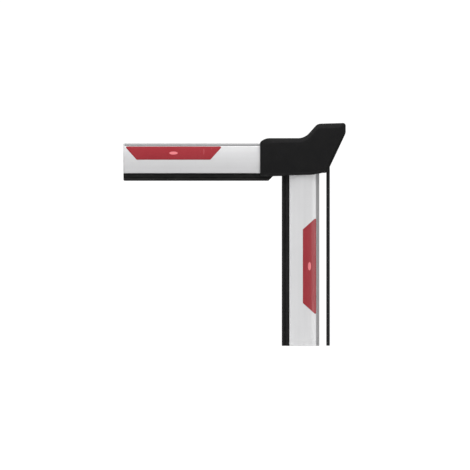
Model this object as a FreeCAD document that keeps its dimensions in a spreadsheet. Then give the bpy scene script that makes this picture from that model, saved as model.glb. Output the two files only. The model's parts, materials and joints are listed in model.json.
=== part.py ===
import FreeCAD, Part
import os

import Sketcher
from FreeCAD import Placement, Rotation, Vector

# Elbow of an articulated parking-barrier boom, in millimetres.
#
# The inner boom stands upright on the gate's drive arm and the outer boom hangs level from the elbow
# at its top.  A tie rod runs beside the inner boom; with the crank on the elbow's fork plates it
# forms a parallelogram, which keeps the outer boom level while the inner boom swings up or down.
#
# Row frame: origin at the middle of the inner boom's foot, +X away from the outer boom, +Y to the
# back, +Z up.  Most pieces are drawn in the elbow frame, whose origin is on the pivot axis, and are
# lifted by elbow_height.  The long pieces are drawn in a boom frame: +X from the rubber edge to the
# top edge, +Z along the boom, away from the pivot.

DIMENSIONS = {
    # places along the booms, from the pivot axis
    "elbow_height": 564.0,        # down to the inner boom's foot
    "outer_reach": 544.0,         # to the outer face of the tip cap
    "inner_near": 25.0,           # sawn ends of the booms, beside the pivot
    "outer_near": 55.0,
    "inner_rubber_near": 48.0,
    "outer_rubber_near": 94.0,
    "inner_cover_near": 30.0,
    "outer_cover_near": 60.0,
    # boom extrusion
    "arm_base": 45.0,             # rubber side, below the centre line
    "arm_top": 36.0,              # top side, above the centre line
    "crown": 22.5,                # half depth at the crown of the faces
    "face_sag": 5.5,              # how far the faces fall away at the corners
    "wall": 2.2,
    "corner_round": 3.0,
    "slot_mouth": 7.0,            # half widths of the two T slots
    "slot_half": 12.0,
    "slot_depth": 7.0,
    "port_offset": 24.0,          # screw ports, either side of the centre line
    "port_radius": 2.1,
    "port_boss": 4.2,
    # rubber edge and slot cover
    "rubber_height": 22.5,
    "rubber_half": 13.0,
    "rubber_wall": 3.5,
    "rubber_round": 6.0,
    "rubber_end_wall": 10.0,
    "rubber_slant": 14.0,         # the mitred end beside the knuckle cover
    "cover_top": 45.0,
    "cover_half": 12.0,
    "cover_wall": 1.6,
    "cover_round": 5.0,
    "snap_gap": 0.35,
    # reflective strips
    "strip_low": -5.0,
    "strip_high": 35.0,
    "strip_length": 293.0,
    "strip_slant": 36.0,
    "strip_thick": 0.4,
    "inner_strip_start": 178.0,
    "outer_strip_start": 246.5,
    # tip cap
    "cap_thick": 4.0,
    "cap_plug": 12.0,
    "cap_bevel": 1.0,
    # fork plates
    "plate_gap": 12.5,            # half gap between the plates
    "plate_thick": 5.0,
    "tail_end": 150.0,            # tail inside the outer boom
    "tail_low": 33.0,
    "tail_high": 23.0,
    "tail_step": 60.0,            # here the tail narrows towards the hub
    "hub_radius": 23.5,
    "crank": 71.7,                # link pin: this far right of the pivot and this far above it
    "ear_radius": 15.0,
    "crank_round": 8.0,
    "fork_screw_near": 70.0,
    "fork_screw_far": 115.0,
    "screw_row": 12.0,            # boom screws, either side of the centre line
    "block_inset": 5.0,           # the spacer block stops this far inside the plates' tails
    # tongue, bushes and pins
    "tongue_half": 19.0,
    "tongue_thick": 11.4,         # half thickness between the plates
    "tongue_end": 130.0,
    "block_half": 17.0,           # half thickness inside the boom
    "tongue_screw": 40.0,
    "tongue_window": 90.0,
    "pivot_radius": 8.0,
    "link_radius": 5.0,
    "bush_radius": 10.0,
    "flange_radius": 14.0,
    "running": 0.05,              # radial clearance of the bearings
    "pin_end": 21.0,              # half length of both pins
    "ring_thick": 1.0,
    "stop_side": 25.1,            # stop buffers, across and along the boom
    "stop_along": 14.0,
    "stop_radius": 4.0,
    "buffer_radius": 6.0,
    # tie rod
    "rod_radius": 5.3,
    "stud_radius": 4.0,
    "eye_radius": 13.0,
    "eye_half": 6.0,
    "eye_bore": 7.0,
    "shank_radius": 8.5,
    "shank_end": 38.0,            # below the link pin
    "stud_end": 16.0,
    "nut_height": 6.5,
    "nut_flats": 13.0,
    "foot_thread": 2.5,
    "foot_thread_depth": 25.0,
    # knuckle cover
    "shell_outer": 32.0,          # half depth outside and inside
    "shell_inner": 29.0,
    "shell_left": 133.2,
    "shell_top": 59.8,
    "shell_base": 54.5,
    "rim_round": 6.0,
    "belly_side": 24.0,           # the lower edge rises gently to the chin
    "belly_drop": 50.0,
    "lip_side": 56.0,
    "chin_side": 68.0,
    "chin_drop": 43.0,
    "nose_right": 123.5,
    "nose_low": 74.5,
    "nose_top": 105.6,
    "nose_left": 39.0,
    "nose_heel": 103.0,
    "ramp_foot": 0.4,
    "shoulder_side": 118.0,       # the corner above the boom's mouth is cut back between these
    "shoulder_low": 48.0,
    "floor_right": 75.0,          # the shells have a floor only left of this
    "nose_floor": 82.0,           # and a right-hand wall only above this
    "boom_gap": 0.5,
    "post_radius": 4.5,
    "mouth_post_x": -115.0,
    "mouth_post_z": 51.2,
    "saddle_post_x": -40.0,
    "saddle_post_z": 46.0,
    "brow_post_x": 46.0,
    "brow_post_z": 92.5,
    "nose_post_x": 108.0,
    "nose_post_z": 89.5,
    # screws
    "boom_screw_radius": 2.95,
    "boom_screw_length": 14.0,
    "boom_screw_head": 5.25,
    "boom_screw_height": 3.3,
    "boom_screw_seat": 21.0,
    "shell_screw_radius": 1.65,
    "shell_screw_length": 40.0,
    "shell_screw_head": 3.7,
    "shell_screw_height": 2.6,
    "shell_screw_seat": 26.0,
    "cap_screw_radius": 2.0,
    "cap_screw_head": 4.2,
    "cap_screw_length": 14.0,
}

PAST = 1.0          # cutting shapes reach this far beyond the solid that they cut
FULL_TURN = 360.0


class Size:
    """A length with its value and the sheet expression that gives it."""

    def __init__(self, value, text):
        self.value = float(value)
        self.text = text

    def joined(self, sign, other, value):
        other_text = other.text if isinstance(other, Size) else repr(float(other))
        return Size(value, f"({self.text} {sign} {other_text})")

    def __add__(self, other):
        return self.joined("+", other, self.value + number(other))

    def __sub__(self, other):
        return self.joined("-", other, self.value - number(other))

    def __mul__(self, other):
        return self.joined("*", other, self.value * number(other))

    def __truediv__(self, other):
        return self.joined("/", other, self.value / number(other))

    def __neg__(self):
        return Size(-self.value, f"(-1 * {self.text})")


def number(size):
    return size.value if isinstance(size, Size) else float(size)


def root(size):
    return Size(size.value ** 0.5, f"sqrt({size.text})")


def bind(thing, path, size):
    """Ties a property or a sketch constraint to the sheet."""
    if isinstance(size, Size):
        thing.setExpression(path, size.text)


doc = FreeCAD.newDocument("barrier_boom_elbow")
sheet = doc.addObject("Spreadsheet::Sheet", "Dimensions")
for row, (alias, value) in enumerate(DIMENSIONS.items(), start=1):
    sheet.set(f"A{row}", alias)
    sheet.set(f"B{row}", str(value))
    sheet.setAlias(f"B{row}", alias)
doc.recompute()


class Cells:
    """Reads a cell of the sheet, by its alias, as a Size."""

    def __getattr__(self, alias):
        return Size(sheet.get(alias), f"Dimensions.{alias}")


d = Cells()

# --- drawing helpers ----------------------------------------------------------------------------


def new_body(label):
    return doc.addObject("PartDesign::Body", label)


def origin_feature(body, role):
    return next(f for f in body.Origin.OriginFeatures if f.Role == role)


def new_sketch(body, role, name, lift=None):
    """A sketch on one of the body's own origin planes, moved along its normal by lift."""
    sketch = body.newObject("Sketcher::SketchObject", f"{body.Name}_{name}")
    sketch.AttachmentSupport = (origin_feature(body, role), [""])
    sketch.MapMode = "FlatFace"
    if lift is not None:
        sketch.AttachmentOffset = Placement(Vector(0, 0, number(lift)), Rotation())
        bind(sketch, "AttachmentOffset.Base.z", lift)
    return sketch


def fix_point(sketch, geometry, end, point):
    for kind, size in zip(("DistanceX", "DistanceY"), point):
        index = sketch.addConstraint(
            Sketcher.Constraint(kind, -1, 1, geometry, end, number(size)))
        bind(sketch, f"Constraints[{index}]", size)


def fix_radius(sketch, geometry, radius):
    index = sketch.addConstraint(Sketcher.Constraint("Radius", geometry, number(radius)))
    bind(sketch, f"Constraints[{index}]", radius)


def arc_between(start, end, radius):
    """The short anticlockwise arc from start to end."""
    chord = end - start
    across = Vector(-chord.y, chord.x, 0).normalize()
    centre = (start + end) * 0.5 + across * (radius ** 2 - chord.Length ** 2 / 4) ** 0.5
    circle = Part.Circle(centre, Vector(0, 0, 1), radius)
    return Part.ArcOfCircle(circle, circle.parameter(start), circle.parameter(end))


def outline(sketch, corners, arcs=None):
    """A closed loop through corners.  arcs gives the radius of the side that starts at a corner:
    above 0 it bulges out of an anticlockwise loop, below 0 into it."""
    arcs = arcs or {}
    points = [Vector(number(x), number(y), 0) for x, y in corners]
    ends = []
    for i, start in enumerate(points):
        stop = points[(i + 1) % len(points)]
        radius = number(arcs.get(i, 0.0))
        if radius > 0:
            ends.append((sketch.addGeometry(arc_between(start, stop, radius)), 1, 2))
        elif radius < 0:
            ends.append((sketch.addGeometry(arc_between(stop, start, -radius)), 2, 1))
        else:
            ends.append((sketch.addGeometry(Part.LineSegment(start, stop)), 1, 2))
    for i, corner in enumerate(corners):
        before = ends[i - 1]
        here = ends[i]
        sketch.addConstraint(
            Sketcher.Constraint("Coincident", before[0], before[2], here[0], here[1]))
        fix_point(sketch, here[0], here[1], corner)
        if i in arcs:
            fix_radius(sketch, here[0], arcs[i] if number(arcs[i]) > 0 else -arcs[i])


def box_outline(sketch, low, high):
    outline(sketch, [low, (high[0], low[1]), high, (low[0], high[1])])


def hexagon(sketch, flats):
    """A regular hexagon about the origin, with two corners on the sketch's own X axis."""
    point = flats / 3 ** 0.5
    flat = flats / 2
    outline(sketch, [(point, 0.0), (point / 2, flat), (-point / 2, flat),
                     (-point, 0.0), (-point / 2, -flat), (point / 2, -flat)])


def round_hole(sketch, centre, radius):
    point = Vector(number(centre[0]), number(centre[1]), 0)
    circle = sketch.addGeometry(Part.Circle(point, Vector(0, 0, 1), number(radius)))
    fix_point(sketch, circle, 3, centre)
    fix_radius(sketch, circle, radius)


def pad(sketch, length, symmetric=False, reverse=False):
    body = sketch.getParentGeoFeatureGroup()
    feature = body.newObject("PartDesign::Pad", f"{sketch.Name}_pad")
    feature.Profile = sketch
    feature.Length = number(length)
    bind(feature, "Length", length)
    feature.SideType = "Symmetric" if symmetric else "One side"
    feature.Reversed = reverse
    doc.recompute()
    return feature


def pocket(sketch, length=None, reverse=False):
    """Cuts length deep against the sketch's normal, or along it with reverse.  With no length it
    cuts right through, both ways."""
    body = sketch.getParentGeoFeatureGroup()
    volume_before = body.Shape.Volume
    feature = body.newObject("PartDesign::Pocket", f"{sketch.Name}_cut")
    feature.Profile = sketch
    if length is None:
        feature.Type = "ThroughAll"
        feature.SideType = "Symmetric"
    else:
        feature.Length = number(length)
        bind(feature, "Length", length)
        feature.Reversed = reverse
    doc.recompute()
    if body.Shape.Volume >= volume_before:
        raise RuntimeError(f"{feature.Name} cuts nothing")
    return feature


def turn(sketch, role="Y_Axis"):
    """A full revolution of the sketch about one of the body's own axes."""
    body = sketch.getParentGeoFeatureGroup()
    feature = body.newObject("PartDesign::Revolution", f"{sketch.Name}_turned")
    feature.Profile = sketch
    feature.ReferenceAxis = (origin_feature(body, role), [""])
    feature.Angle = FULL_TURN
    doc.recompute()
    return feature


def mirror(body, features):
    """Adds the same features on the other side of the boom's middle plane."""
    feature = body.newObject("PartDesign::Mirrored", f"{body.Name}_mirrored")
    feature.Originals = features
    feature.MirrorPlane = (origin_feature(body, "XZ_Plane"), [""])
    body.Tip = feature
    doc.recompute()


def work_edges(body, kind, path, size, wanted):
    """Rounds or chamfers the edges of the body's tip for which wanted(edge) is true."""
    base = body.Tip
    names = [f"Edge{i}" for i, e in enumerate(base.Shape.Edges, start=1) if wanted(e)]
    if not names:
        raise RuntimeError(f"no edge to work on {body.Name}")
    feature = body.newObject(f"PartDesign::{kind}", f"{base.Name}_{kind.lower()}")
    feature.Base = (base, names)
    setattr(feature, path, number(size))
    bind(feature, path, size)
    doc.recompute()


def round_edges(body, radius, wanted):
    work_edges(body, "Fillet", "Radius", radius, wanted)


def bevel_edges(body, size, wanted):
    work_edges(body, "Chamfer", "Size", size, wanted)


def along(edge, axis):
    """True if the edge is straight and parallel to the axis."""
    span = edge.Vertexes[-1].Point - edge.Vertexes[0].Point
    straight = edge.Curve.TypeId == "Part::GeomLine"
    return straight and span.Length > 1e-6 and span.cross(axis).Length < 1e-6 * span.Length


def centred_at(edge, x=None, y=None, z=None, reach=0.6):
    """True if the middle of the edge has the given coordinates."""
    middle = edge.valueAt((edge.FirstParameter + edge.LastParameter) / 2)
    wanted = ((middle.x, x), (middle.y, y), (middle.z, z))
    return all(w is None or abs(m - number(w)) < reach for m, w in wanted)


ALONG_BOOM = Vector(0, 0, 1)
ALONG_PIVOT = Vector(0, 1, 0)
FRAMES = {
    "elbow": Rotation(),
    "inner": Rotation(Vector(1, 0, 0), 180),
    "outer": Rotation(Vector(0, 1, 0), -90),
}
SUB_PARTS = []


def keep(thing, frame="elbow"):
    """Puts a sub-part in the row frame and marks it for export."""
    thing.Placement = Placement(Vector(0, 0, d.elbow_height.value), FRAMES[frame])
    bind(thing, "Placement.Base.z", d.elbow_height)
    SUB_PARTS.append(thing)


def keep_at_link(thing):
    """The same, for a piece that is drawn about the link pin's axis."""
    keep(thing)
    height = d.elbow_height + d.crank
    thing.Placement.Base = Vector(d.crank.value, 0, height.value)
    bind(thing, "Placement.Base.x", d.crank)
    bind(thing, "Placement.Base.z", height)


# --- booms: aluminium extrusions with curved faces, two T slots and two screw ports -------------

arm_height = d.arm_base + d.arm_top
arm_middle = (d.arm_top - d.arm_base) / 2
face_radius = (arm_height * arm_height / 4 + d.face_sag * d.face_sag) / (d.face_sag * 2)
face_centre = face_radius - d.crown
slot_floor_low = d.slot_depth - d.arm_base
slot_floor_high = d.arm_top - d.slot_depth
inner_far = d.elbow_height
outer_far = d.outer_reach - d.cap_thick
BOTH_SIDES = (-1.0, 1.0)


def face_depth(across, outset=0.0):
    """Half depth of the boom's curved face at a height across it, moved out by outset."""
    reach = face_radius + outset
    drop = arm_middle - across
    return root(reach * reach - drop * drop) - face_centre


def curved_section(sketch, low, high, outset=0.0):
    """The lens-shaped section between two heights."""
    low_depth = face_depth(low, outset)
    high_depth = face_depth(high, outset)
    corners = [(low, -low_depth), (high, -high_depth), (high, high_depth), (low, low_depth)]
    outline(sketch, corners, {0: face_radius + outset, 2: face_radius + outset})


def tee(sketch, mouth_outside, mouth_inside, floor, mouth_half, floor_half):
    """A T-shaped loop from the mouth of a slot to its floor."""
    outline(sketch, [
        (mouth_outside, -mouth_half), (mouth_inside, -mouth_half), (mouth_inside, -floor_half),
        (floor, -floor_half), (floor, floor_half), (mouth_inside, floor_half),
        (mouth_inside, mouth_half), (mouth_outside, mouth_half)])


def boom_extrusion(label, near, far, screw_places):
    body = new_body(label)
    length = far - near
    section = new_sketch(body, "XY_Plane", "section", near)
    curved_section(section, -d.arm_base, d.arm_top)
    pad(section, length)
    round_edges(body, d.corner_round, lambda e: along(e, ALONG_BOOM))

    hollow = new_sketch(body, "XY_Plane", "hollow", near)
    curved_section(hollow, slot_floor_low + d.wall, slot_floor_high - d.wall, -d.wall)
    pocket(hollow)
    rubber_slot = new_sketch(body, "XY_Plane", "rubber_slot", near)
    tee(rubber_slot, -d.arm_base - PAST, d.wall - d.arm_base, slot_floor_low,
        d.slot_mouth, d.slot_half)
    pocket(rubber_slot)
    cover_slot = new_sketch(body, "XY_Plane", "cover_slot", near)
    tee(cover_slot, d.arm_top + PAST, d.arm_top - d.wall, slot_floor_high,
        d.slot_mouth, d.slot_half)
    pocket(cover_slot)

    rib = new_sketch(body, "XY_Plane", "port_rib", near)
    box_outline(rib, (slot_floor_low + PAST, -d.wall / 2), (-d.port_offset, d.wall / 2))
    pad(rib, length)
    for name, side in (("low", -1.0), ("high", 1.0)):
        boss = new_sketch(body, "XY_Plane", f"{name}_boss", near)
        round_hole(boss, (d.port_offset * side, 0.0), d.port_boss)
        pad(boss, length)
    ports = new_sketch(body, "XY_Plane", "ports", near)
    for side in BOTH_SIDES:
        round_hole(ports, (d.port_offset * side, 0.0), d.port_radius)
    pocket(ports)

    holes = new_sketch(body, "XZ_Plane", "screw_holes")
    front_seats = new_sketch(body, "XZ_Plane", "front_seats", d.boom_screw_seat)
    rear_seats = new_sketch(body, "XZ_Plane", "rear_seats", -d.boom_screw_seat)
    for place in screw_places:
        for side in BOTH_SIDES:
            centre = (d.screw_row * side, place)
            round_hole(holes, centre, d.boom_screw_radius + d.snap_gap)
            round_hole(front_seats, centre, d.boom_screw_head + d.boom_gap)
            round_hole(rear_seats, centre, d.boom_screw_head + d.boom_gap)
    pocket(holes)
    pocket(front_seats, d.crown, reverse=True)
    pocket(rear_seats, d.crown)
    return body


keep(boom_extrusion("inner_arm", d.inner_near, inner_far, [d.tongue_screw]), "inner")
keep(boom_extrusion("outer_arm", d.outer_near, outer_far,
                    [d.fork_screw_near, d.fork_screw_far]), "outer")

# --- rubber edges: hollow bumpers that snap into the booms' lower slots -------------------------

slot_neck = d.slot_mouth - d.snap_gap
slot_foot = d.slot_half - d.snap_gap


def rubber_edge(label, near, far):
    body = new_body(label)
    base = -d.arm_base
    lowest = base - d.rubber_height
    foot_low = base + d.wall + d.snap_gap
    foot_high = slot_floor_low - d.snap_gap
    section = new_sketch(body, "XY_Plane", "section", near)
    outline(section, [
        (lowest, -d.rubber_half), (base, -d.rubber_half), (base, -slot_neck),
        (foot_low, -slot_neck), (foot_low, -slot_foot), (foot_high, -slot_foot),
        (foot_high, slot_foot), (foot_low, slot_foot), (foot_low, slot_neck),
        (base, slot_neck), (base, d.rubber_half), (lowest, d.rubber_half)])
    pad(section, far - near)
    round_edges(body, d.rubber_round, lambda e: along(e, ALONG_BOOM) and centred_at(e, x=lowest))
    return body


def rubber_chamber(body, near, length=None):
    """The hollow along the middle of the edge; with no length it runs out at both ends."""
    lowest = -d.arm_base - d.rubber_height
    chamber = new_sketch(body, "XY_Plane", "chamber", near)
    half = d.rubber_half - d.rubber_wall
    box_outline(chamber, (lowest + d.rubber_wall, -half), (-d.arm_base - d.rubber_wall, half))
    pocket(chamber, length, reverse=True)


inner_rubber = rubber_edge("inner_rubber_edge", d.inner_rubber_near, inner_far)
rubber_chamber(inner_rubber, d.inner_rubber_near)
keep(inner_rubber, "inner")

# The outer edge is closed and rounded at the tip, and mitred where it meets the knuckle cover.
outer_rubber = rubber_edge("outer_rubber_edge", d.outer_rubber_near, d.outer_reach)
cap_relief = new_sketch(outer_rubber, "XY_Plane", "cap_relief", outer_far)
box_outline(cap_relief, (-d.arm_base, -d.slot_half), (slot_floor_low, d.slot_half))
pocket(cap_relief, d.cap_thick + PAST, reverse=True)
round_edges(outer_rubber, d.rubber_wall, lambda e: centred_at(e, z=d.outer_reach)
            and e.BoundBox.XMax < -d.arm_base.value - 0.1)
rubber_chamber(outer_rubber, d.outer_rubber_near,
               d.outer_reach - d.outer_rubber_near - d.rubber_end_wall)
rubber_lowest = -d.arm_base - d.rubber_height
mitre = new_sketch(outer_rubber, "XZ_Plane", "mitre")
outline(mitre, [
    (rubber_lowest - PAST, d.outer_rubber_near - PAST),
    (rubber_lowest + d.rubber_slant + PAST, d.outer_rubber_near - PAST),
    (rubber_lowest - PAST, d.outer_rubber_near + d.rubber_slant + PAST)])
pocket(mitre)
keep(outer_rubber, "outer")

# --- slot covers: hollow plastic strips that snap into the booms' upper slots -------------------


def slot_cover(label, near, far):
    body = new_body(label)
    foot_high = d.arm_top - d.wall - d.snap_gap
    foot_low = slot_floor_high + d.snap_gap
    section = new_sketch(body, "XY_Plane", "section", near)
    outline(section, [
        (foot_low, -slot_foot), (foot_high, -slot_foot), (foot_high, -slot_neck),
        (d.arm_top, -slot_neck), (d.arm_top, -d.cover_half), (d.cover_top, -d.cover_half),
        (d.cover_top, d.cover_half), (d.arm_top, d.cover_half), (d.arm_top, slot_neck),
        (foot_high, slot_neck), (foot_high, slot_foot), (foot_low, slot_foot)])
    pad(section, far - near)
    round_edges(body, d.cover_round,
                lambda e: along(e, ALONG_BOOM) and centred_at(e, x=d.cover_top))
    chamber = new_sketch(body, "XY_Plane", "chamber", near)
    half = d.cover_half - d.cover_wall * 2
    box_outline(chamber, (d.arm_top + d.cover_wall, -half), (d.cover_top - d.cover_wall, half))
    pocket(chamber)
    return body


keep(slot_cover("inner_slot_cover", d.inner_cover_near, inner_far), "inner")
keep(slot_cover("outer_slot_cover", d.outer_cover_near, outer_far), "outer")

# --- reflectors: thin trapezoids that follow the curved faces -----------------------------------


def reflective_strip(label, start, side):
    """side is -1 or 1, the face of the boom frame's Y axis that carries the strip."""
    body = new_body(label)
    band = new_sketch(body, "XY_Plane", "band", start)
    first, last = (d.strip_low, d.strip_high) if side < 0 else (d.strip_high, d.strip_low)
    outline(band, [
        (first, face_depth(first, d.strip_thick) * side),
        (last, face_depth(last, d.strip_thick) * side),
        (last, face_depth(last) * side),
        (first, face_depth(first) * side)],
        {0: face_radius + d.strip_thick, 2: -face_radius})
    pad(band, d.strip_length)
    beyond = d.strip_low - PAST
    run = d.strip_slant / (d.strip_high - d.strip_low) * (d.strip_high - beyond)
    for name, corner, slant in (("near", start, run), ("far", start + d.strip_length, -run)):
        end = new_sketch(body, "XZ_Plane", f"{name}_slant")
        outline(end, [(d.strip_high, corner), (beyond, corner + slant), (beyond, corner)])
        pocket(end)
    return body


# The inner boom is turned over about X, so its front face is on the boom frame's +Y side.
keep(reflective_strip("inner_reflector_front", d.inner_strip_start, 1.0), "inner")
keep(reflective_strip("inner_reflector_rear", d.inner_strip_start, -1.0), "inner")
keep(reflective_strip("outer_reflector_front", d.outer_strip_start, -1.0), "outer")
keep(reflective_strip("outer_reflector_rear", d.outer_strip_start, 1.0), "outer")

# --- tip cap: moulded plug that closes the outer boom -------------------------------------------

tip_cap = new_body("tip_cap")
cap_face = new_sketch(tip_cap, "XY_Plane", "face", outer_far)
curved_section(cap_face, -d.arm_base, d.arm_top)
pad(cap_face, d.cap_thick)
cap_head = new_sketch(tip_cap, "XY_Plane", "head", outer_far)
box_outline(cap_head, (d.arm_top - PAST, -d.cover_half), (d.cover_top, d.cover_half))
pad(cap_head, d.cap_thick)
round_edges(tip_cap, d.corner_round, lambda e: along(e, ALONG_BOOM)
            and (centred_at(e, x=-d.arm_base) or centred_at(e, x=d.cover_top)))
bevel_edges(tip_cap, d.cap_bevel, lambda e: centred_at(e, z=d.outer_reach))
plug_across = d.tongue_half
plug_deep = d.block_half - PAST
plug = new_sketch(tip_cap, "XY_Plane", "plug", outer_far)
box_outline(plug, (-plug_across, -plug_deep), (plug_across, plug_deep))
pad(plug, d.cap_plug, reverse=True)
plug_hollow = new_sketch(tip_cap, "XY_Plane", "plug_hollow", outer_far - d.cap_plug)
box_outline(plug_hollow, (d.wall - plug_across, d.wall - plug_deep),
            (plug_across - d.wall, plug_deep - d.wall))
pocket(plug_hollow, d.cap_plug, reverse=True)
cap_hole_radius = d.cap_screw_radius + d.snap_gap
cap_holes = new_sketch(tip_cap, "XY_Plane", "screw_holes", outer_far)
for side in BOTH_SIDES:
    round_hole(cap_holes, (d.port_offset * side, 0.0), cap_hole_radius)
pocket(cap_holes)
bevel_edges(tip_cap, d.cap_screw_head - d.cap_screw_radius,
            lambda e: centred_at(e, z=d.outer_reach) and e.Curve.TypeId == "Part::GeomCircle"
            and abs(e.Curve.Radius - cap_hole_radius.value) < 0.01)
keep(tip_cap, "outer")

# --- fork: two steel plates and a spacer block, screwed inside the outer boom -------------------

stop_places = [(-d.stop_side, -d.stop_along), (d.stop_along, d.stop_side)]
EAR_ACROSS, EAR_UP = 0.342, 0.940     # cosine and sine of 70 degrees, where the ear's sides meet it


def fork_screw_places():
    return [(-place, d.screw_row * side)
            for place in (d.fork_screw_near, d.fork_screw_far) for side in BOTH_SIDES]


def fork_plate(label, lift):
    """A tail inside the outer boom, a hub at the pivot and a crank up to the link pin."""
    body = new_body(label)
    plate = new_sketch(body, "XZ_Plane", "plate", lift)
    ear_low = (d.crank + d.ear_radius * EAR_ACROSS, d.crank - d.ear_radius * EAR_UP)
    ear_right = (d.crank + d.ear_radius, d.crank)
    ear_high = (d.crank - d.ear_radius * EAR_ACROSS, d.crank + d.ear_radius * EAR_UP)
    tail_step = (-d.tail_step, -d.tail_low)
    throat_high = (d.hub_radius, d.tail_high + d.ear_radius)
    throat_right = (d.hub_radius + d.ear_radius * 0.6, d.crank - d.hub_radius)
    brow = (d.crank - d.ear_radius * 2.8, d.crank + d.ear_radius * 0.3)
    crank_root = (-d.ear_radius * 0.7, d.tail_high + d.hub_radius * 0.9)
    shoulder = (-d.hub_radius * 1.1, d.tail_high)
    outline(plate, [
        (-d.tail_end, -d.tail_low), tail_step, (d.ear_radius * 0.7 - d.tail_step, -d.hub_radius),
        (0.0, -d.hub_radius), (d.hub_radius, 0.0), throat_high, throat_right, ear_low, ear_right,
        ear_high, brow, crank_root, shoulder, (-d.tail_end, d.tail_high)],
        {3: d.hub_radius, 7: d.ear_radius, 8: d.ear_radius})
    pad(plate, d.plate_thick)
    rounded = [tail_step, throat_right, brow, crank_root, shoulder]
    round_edges(body, d.crank_round, lambda e: along(e, ALONG_PIVOT)
                and any(centred_at(e, x=x, z=z) for x, z in rounded))
    holes = new_sketch(body, "XZ_Plane", "holes")
    round_hole(holes, (0.0, 0.0), d.pivot_radius)
    round_hole(holes, (d.crank, d.crank), d.link_radius)
    for place in stop_places:
        round_hole(holes, place, d.stop_radius)
    for place in fork_screw_places():
        round_hole(holes, place, d.boom_screw_radius + d.snap_gap)
    pocket(holes)
    return body


keep(fork_plate("fork_plate_front", d.plate_gap))
keep(fork_plate("fork_plate_rear", -d.plate_gap - d.plate_thick))

fork_spacer = new_body("fork_spacer")
spacer_side = new_sketch(fork_spacer, "XZ_Plane", "side")
box_outline(spacer_side, (d.block_inset - d.tail_end, -d.tongue_half),
            (-d.outer_near - d.block_inset, d.tongue_half))
pad(spacer_side, d.plate_gap * 2, symmetric=True)
spacer_holes = new_sketch(fork_spacer, "XZ_Plane", "holes")
for place in fork_screw_places():
    round_hole(spacer_holes, place, d.boom_screw_radius + d.running)
round_hole(spacer_holes, (-(d.fork_screw_near + d.fork_screw_far) / 2, 0.0), d.screw_row)
pocket(spacer_holes)
bevel_edges(fork_spacer, d.cap_bevel, lambda e: along(e, ALONG_PIVOT))
keep(fork_spacer)

# --- tongue: aluminium block screwed inside the inner boom, with the pivot bore at its end ------

tongue = new_body("inner_tongue")
blade = new_sketch(tongue, "XZ_Plane", "blade")
outline(blade, [(-d.tongue_half, -d.tongue_end), (d.tongue_half, -d.tongue_end),
                (d.tongue_half, 0.0), (0.0, d.tongue_half), (-d.tongue_half, 0.0)],
        {2: d.tongue_half, 3: d.tongue_half})
pad(blade, d.tongue_thick * 2, symmetric=True)
block = new_sketch(tongue, "XZ_Plane", "block")
box_outline(block, (-d.tongue_half, -d.tongue_end), (d.tongue_half, -d.inner_near - d.block_inset))
pad(block, d.block_half * 2, symmetric=True)
bevel_edges(tongue, d.cap_bevel, lambda e: along(e, ALONG_BOOM)
            and (centred_at(e, y=d.block_half) or centred_at(e, y=-d.block_half)))
tongue_bores = new_sketch(tongue, "XZ_Plane", "bores")
round_hole(tongue_bores, (0.0, 0.0), d.bush_radius)
for side in BOTH_SIDES:
    round_hole(tongue_bores, (d.screw_row * side, -d.tongue_screw),
               d.boom_screw_radius + d.running)
round_hole(tongue_bores, (0.0, -d.tongue_window), d.screw_row)
pocket(tongue_bores)
keep(tongue)

# --- pivot and link: flanged bushes, shouldered pins and the rings that hold them ---------------

bush_face = d.plate_gap - d.running * 2
bushes = new_body("pivot_bushes")
bush_wall = new_sketch(bushes, "XY_Plane", "wall")
bush_bore = d.pivot_radius + d.running
outline(bush_wall, [
    (bush_bore, d.snap_gap), (d.bush_radius, d.snap_gap), (d.bush_radius, d.tongue_thick),
    (d.flange_radius, d.tongue_thick), (d.flange_radius, bush_face), (bush_bore, bush_face)])
mirror(bushes, [turn(bush_wall)])
keep(bushes)

GROOVE = 0.9          # groove radius as a share of the pin's radius
groove_start = d.plate_gap + d.plate_thick + d.running * 2
groove_end = groove_start + d.ring_thick + d.running * 2


def shouldered_pin(label, radius):
    """A pin through both plates, with a ring groove outside each."""
    body = new_body(label)
    groove = radius * GROOVE
    bevelled = radius - d.cap_bevel
    upper = [(radius, groove_start), (groove, groove_start), (groove, groove_end),
             (radius, groove_end), (radius, d.pin_end - d.cap_bevel), (bevelled, d.pin_end)]
    lower = [(across, -height) for across, height in reversed(upper)]
    profile = new_sketch(body, "XY_Plane", "profile")
    outline(profile, [(0.0, -d.pin_end), *lower, *upper, (0.0, d.pin_end)])
    turn(profile)
    return body


def retaining_rings(label, radius):
    """A pair of open rings that snap into the pin's grooves."""
    body = new_body(label)
    profile = new_sketch(body, "XY_Plane", "profile")
    inner = radius * GROOVE + d.running
    outer = radius * 1.4
    box_outline(profile, (inner, groove_start + d.running), (outer, groove_end - d.running))
    mirror(body, [turn(profile)])
    gap = new_sketch(body, "XZ_Plane", "gap")
    box_outline(gap, (-radius / 3, -outer - PAST), (radius / 3, 0.0))
    pocket(gap)
    return body


keep(shouldered_pin("pivot_pin", d.pivot_radius))
keep(retaining_rings("pivot_rings", d.pivot_radius))
keep_at_link(shouldered_pin("link_pin", d.link_radius))
keep_at_link(retaining_rings("link_pin_rings", d.link_radius))

# Two tubes keep the tie rod's eye in the middle of the link pin.
spacers = new_body("link_spacers")
spacer_wall = new_sketch(spacers, "XY_Plane", "wall")
box_outline(spacer_wall, (d.link_radius + d.running, d.eye_half + d.running * 2),
            (d.shank_radius, bush_face))
mirror(spacers, [turn(spacer_wall)])
keep_at_link(spacers)

# --- stops: pins riveted between the plates, with rubber buffers that meet the tongue -----------

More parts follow.
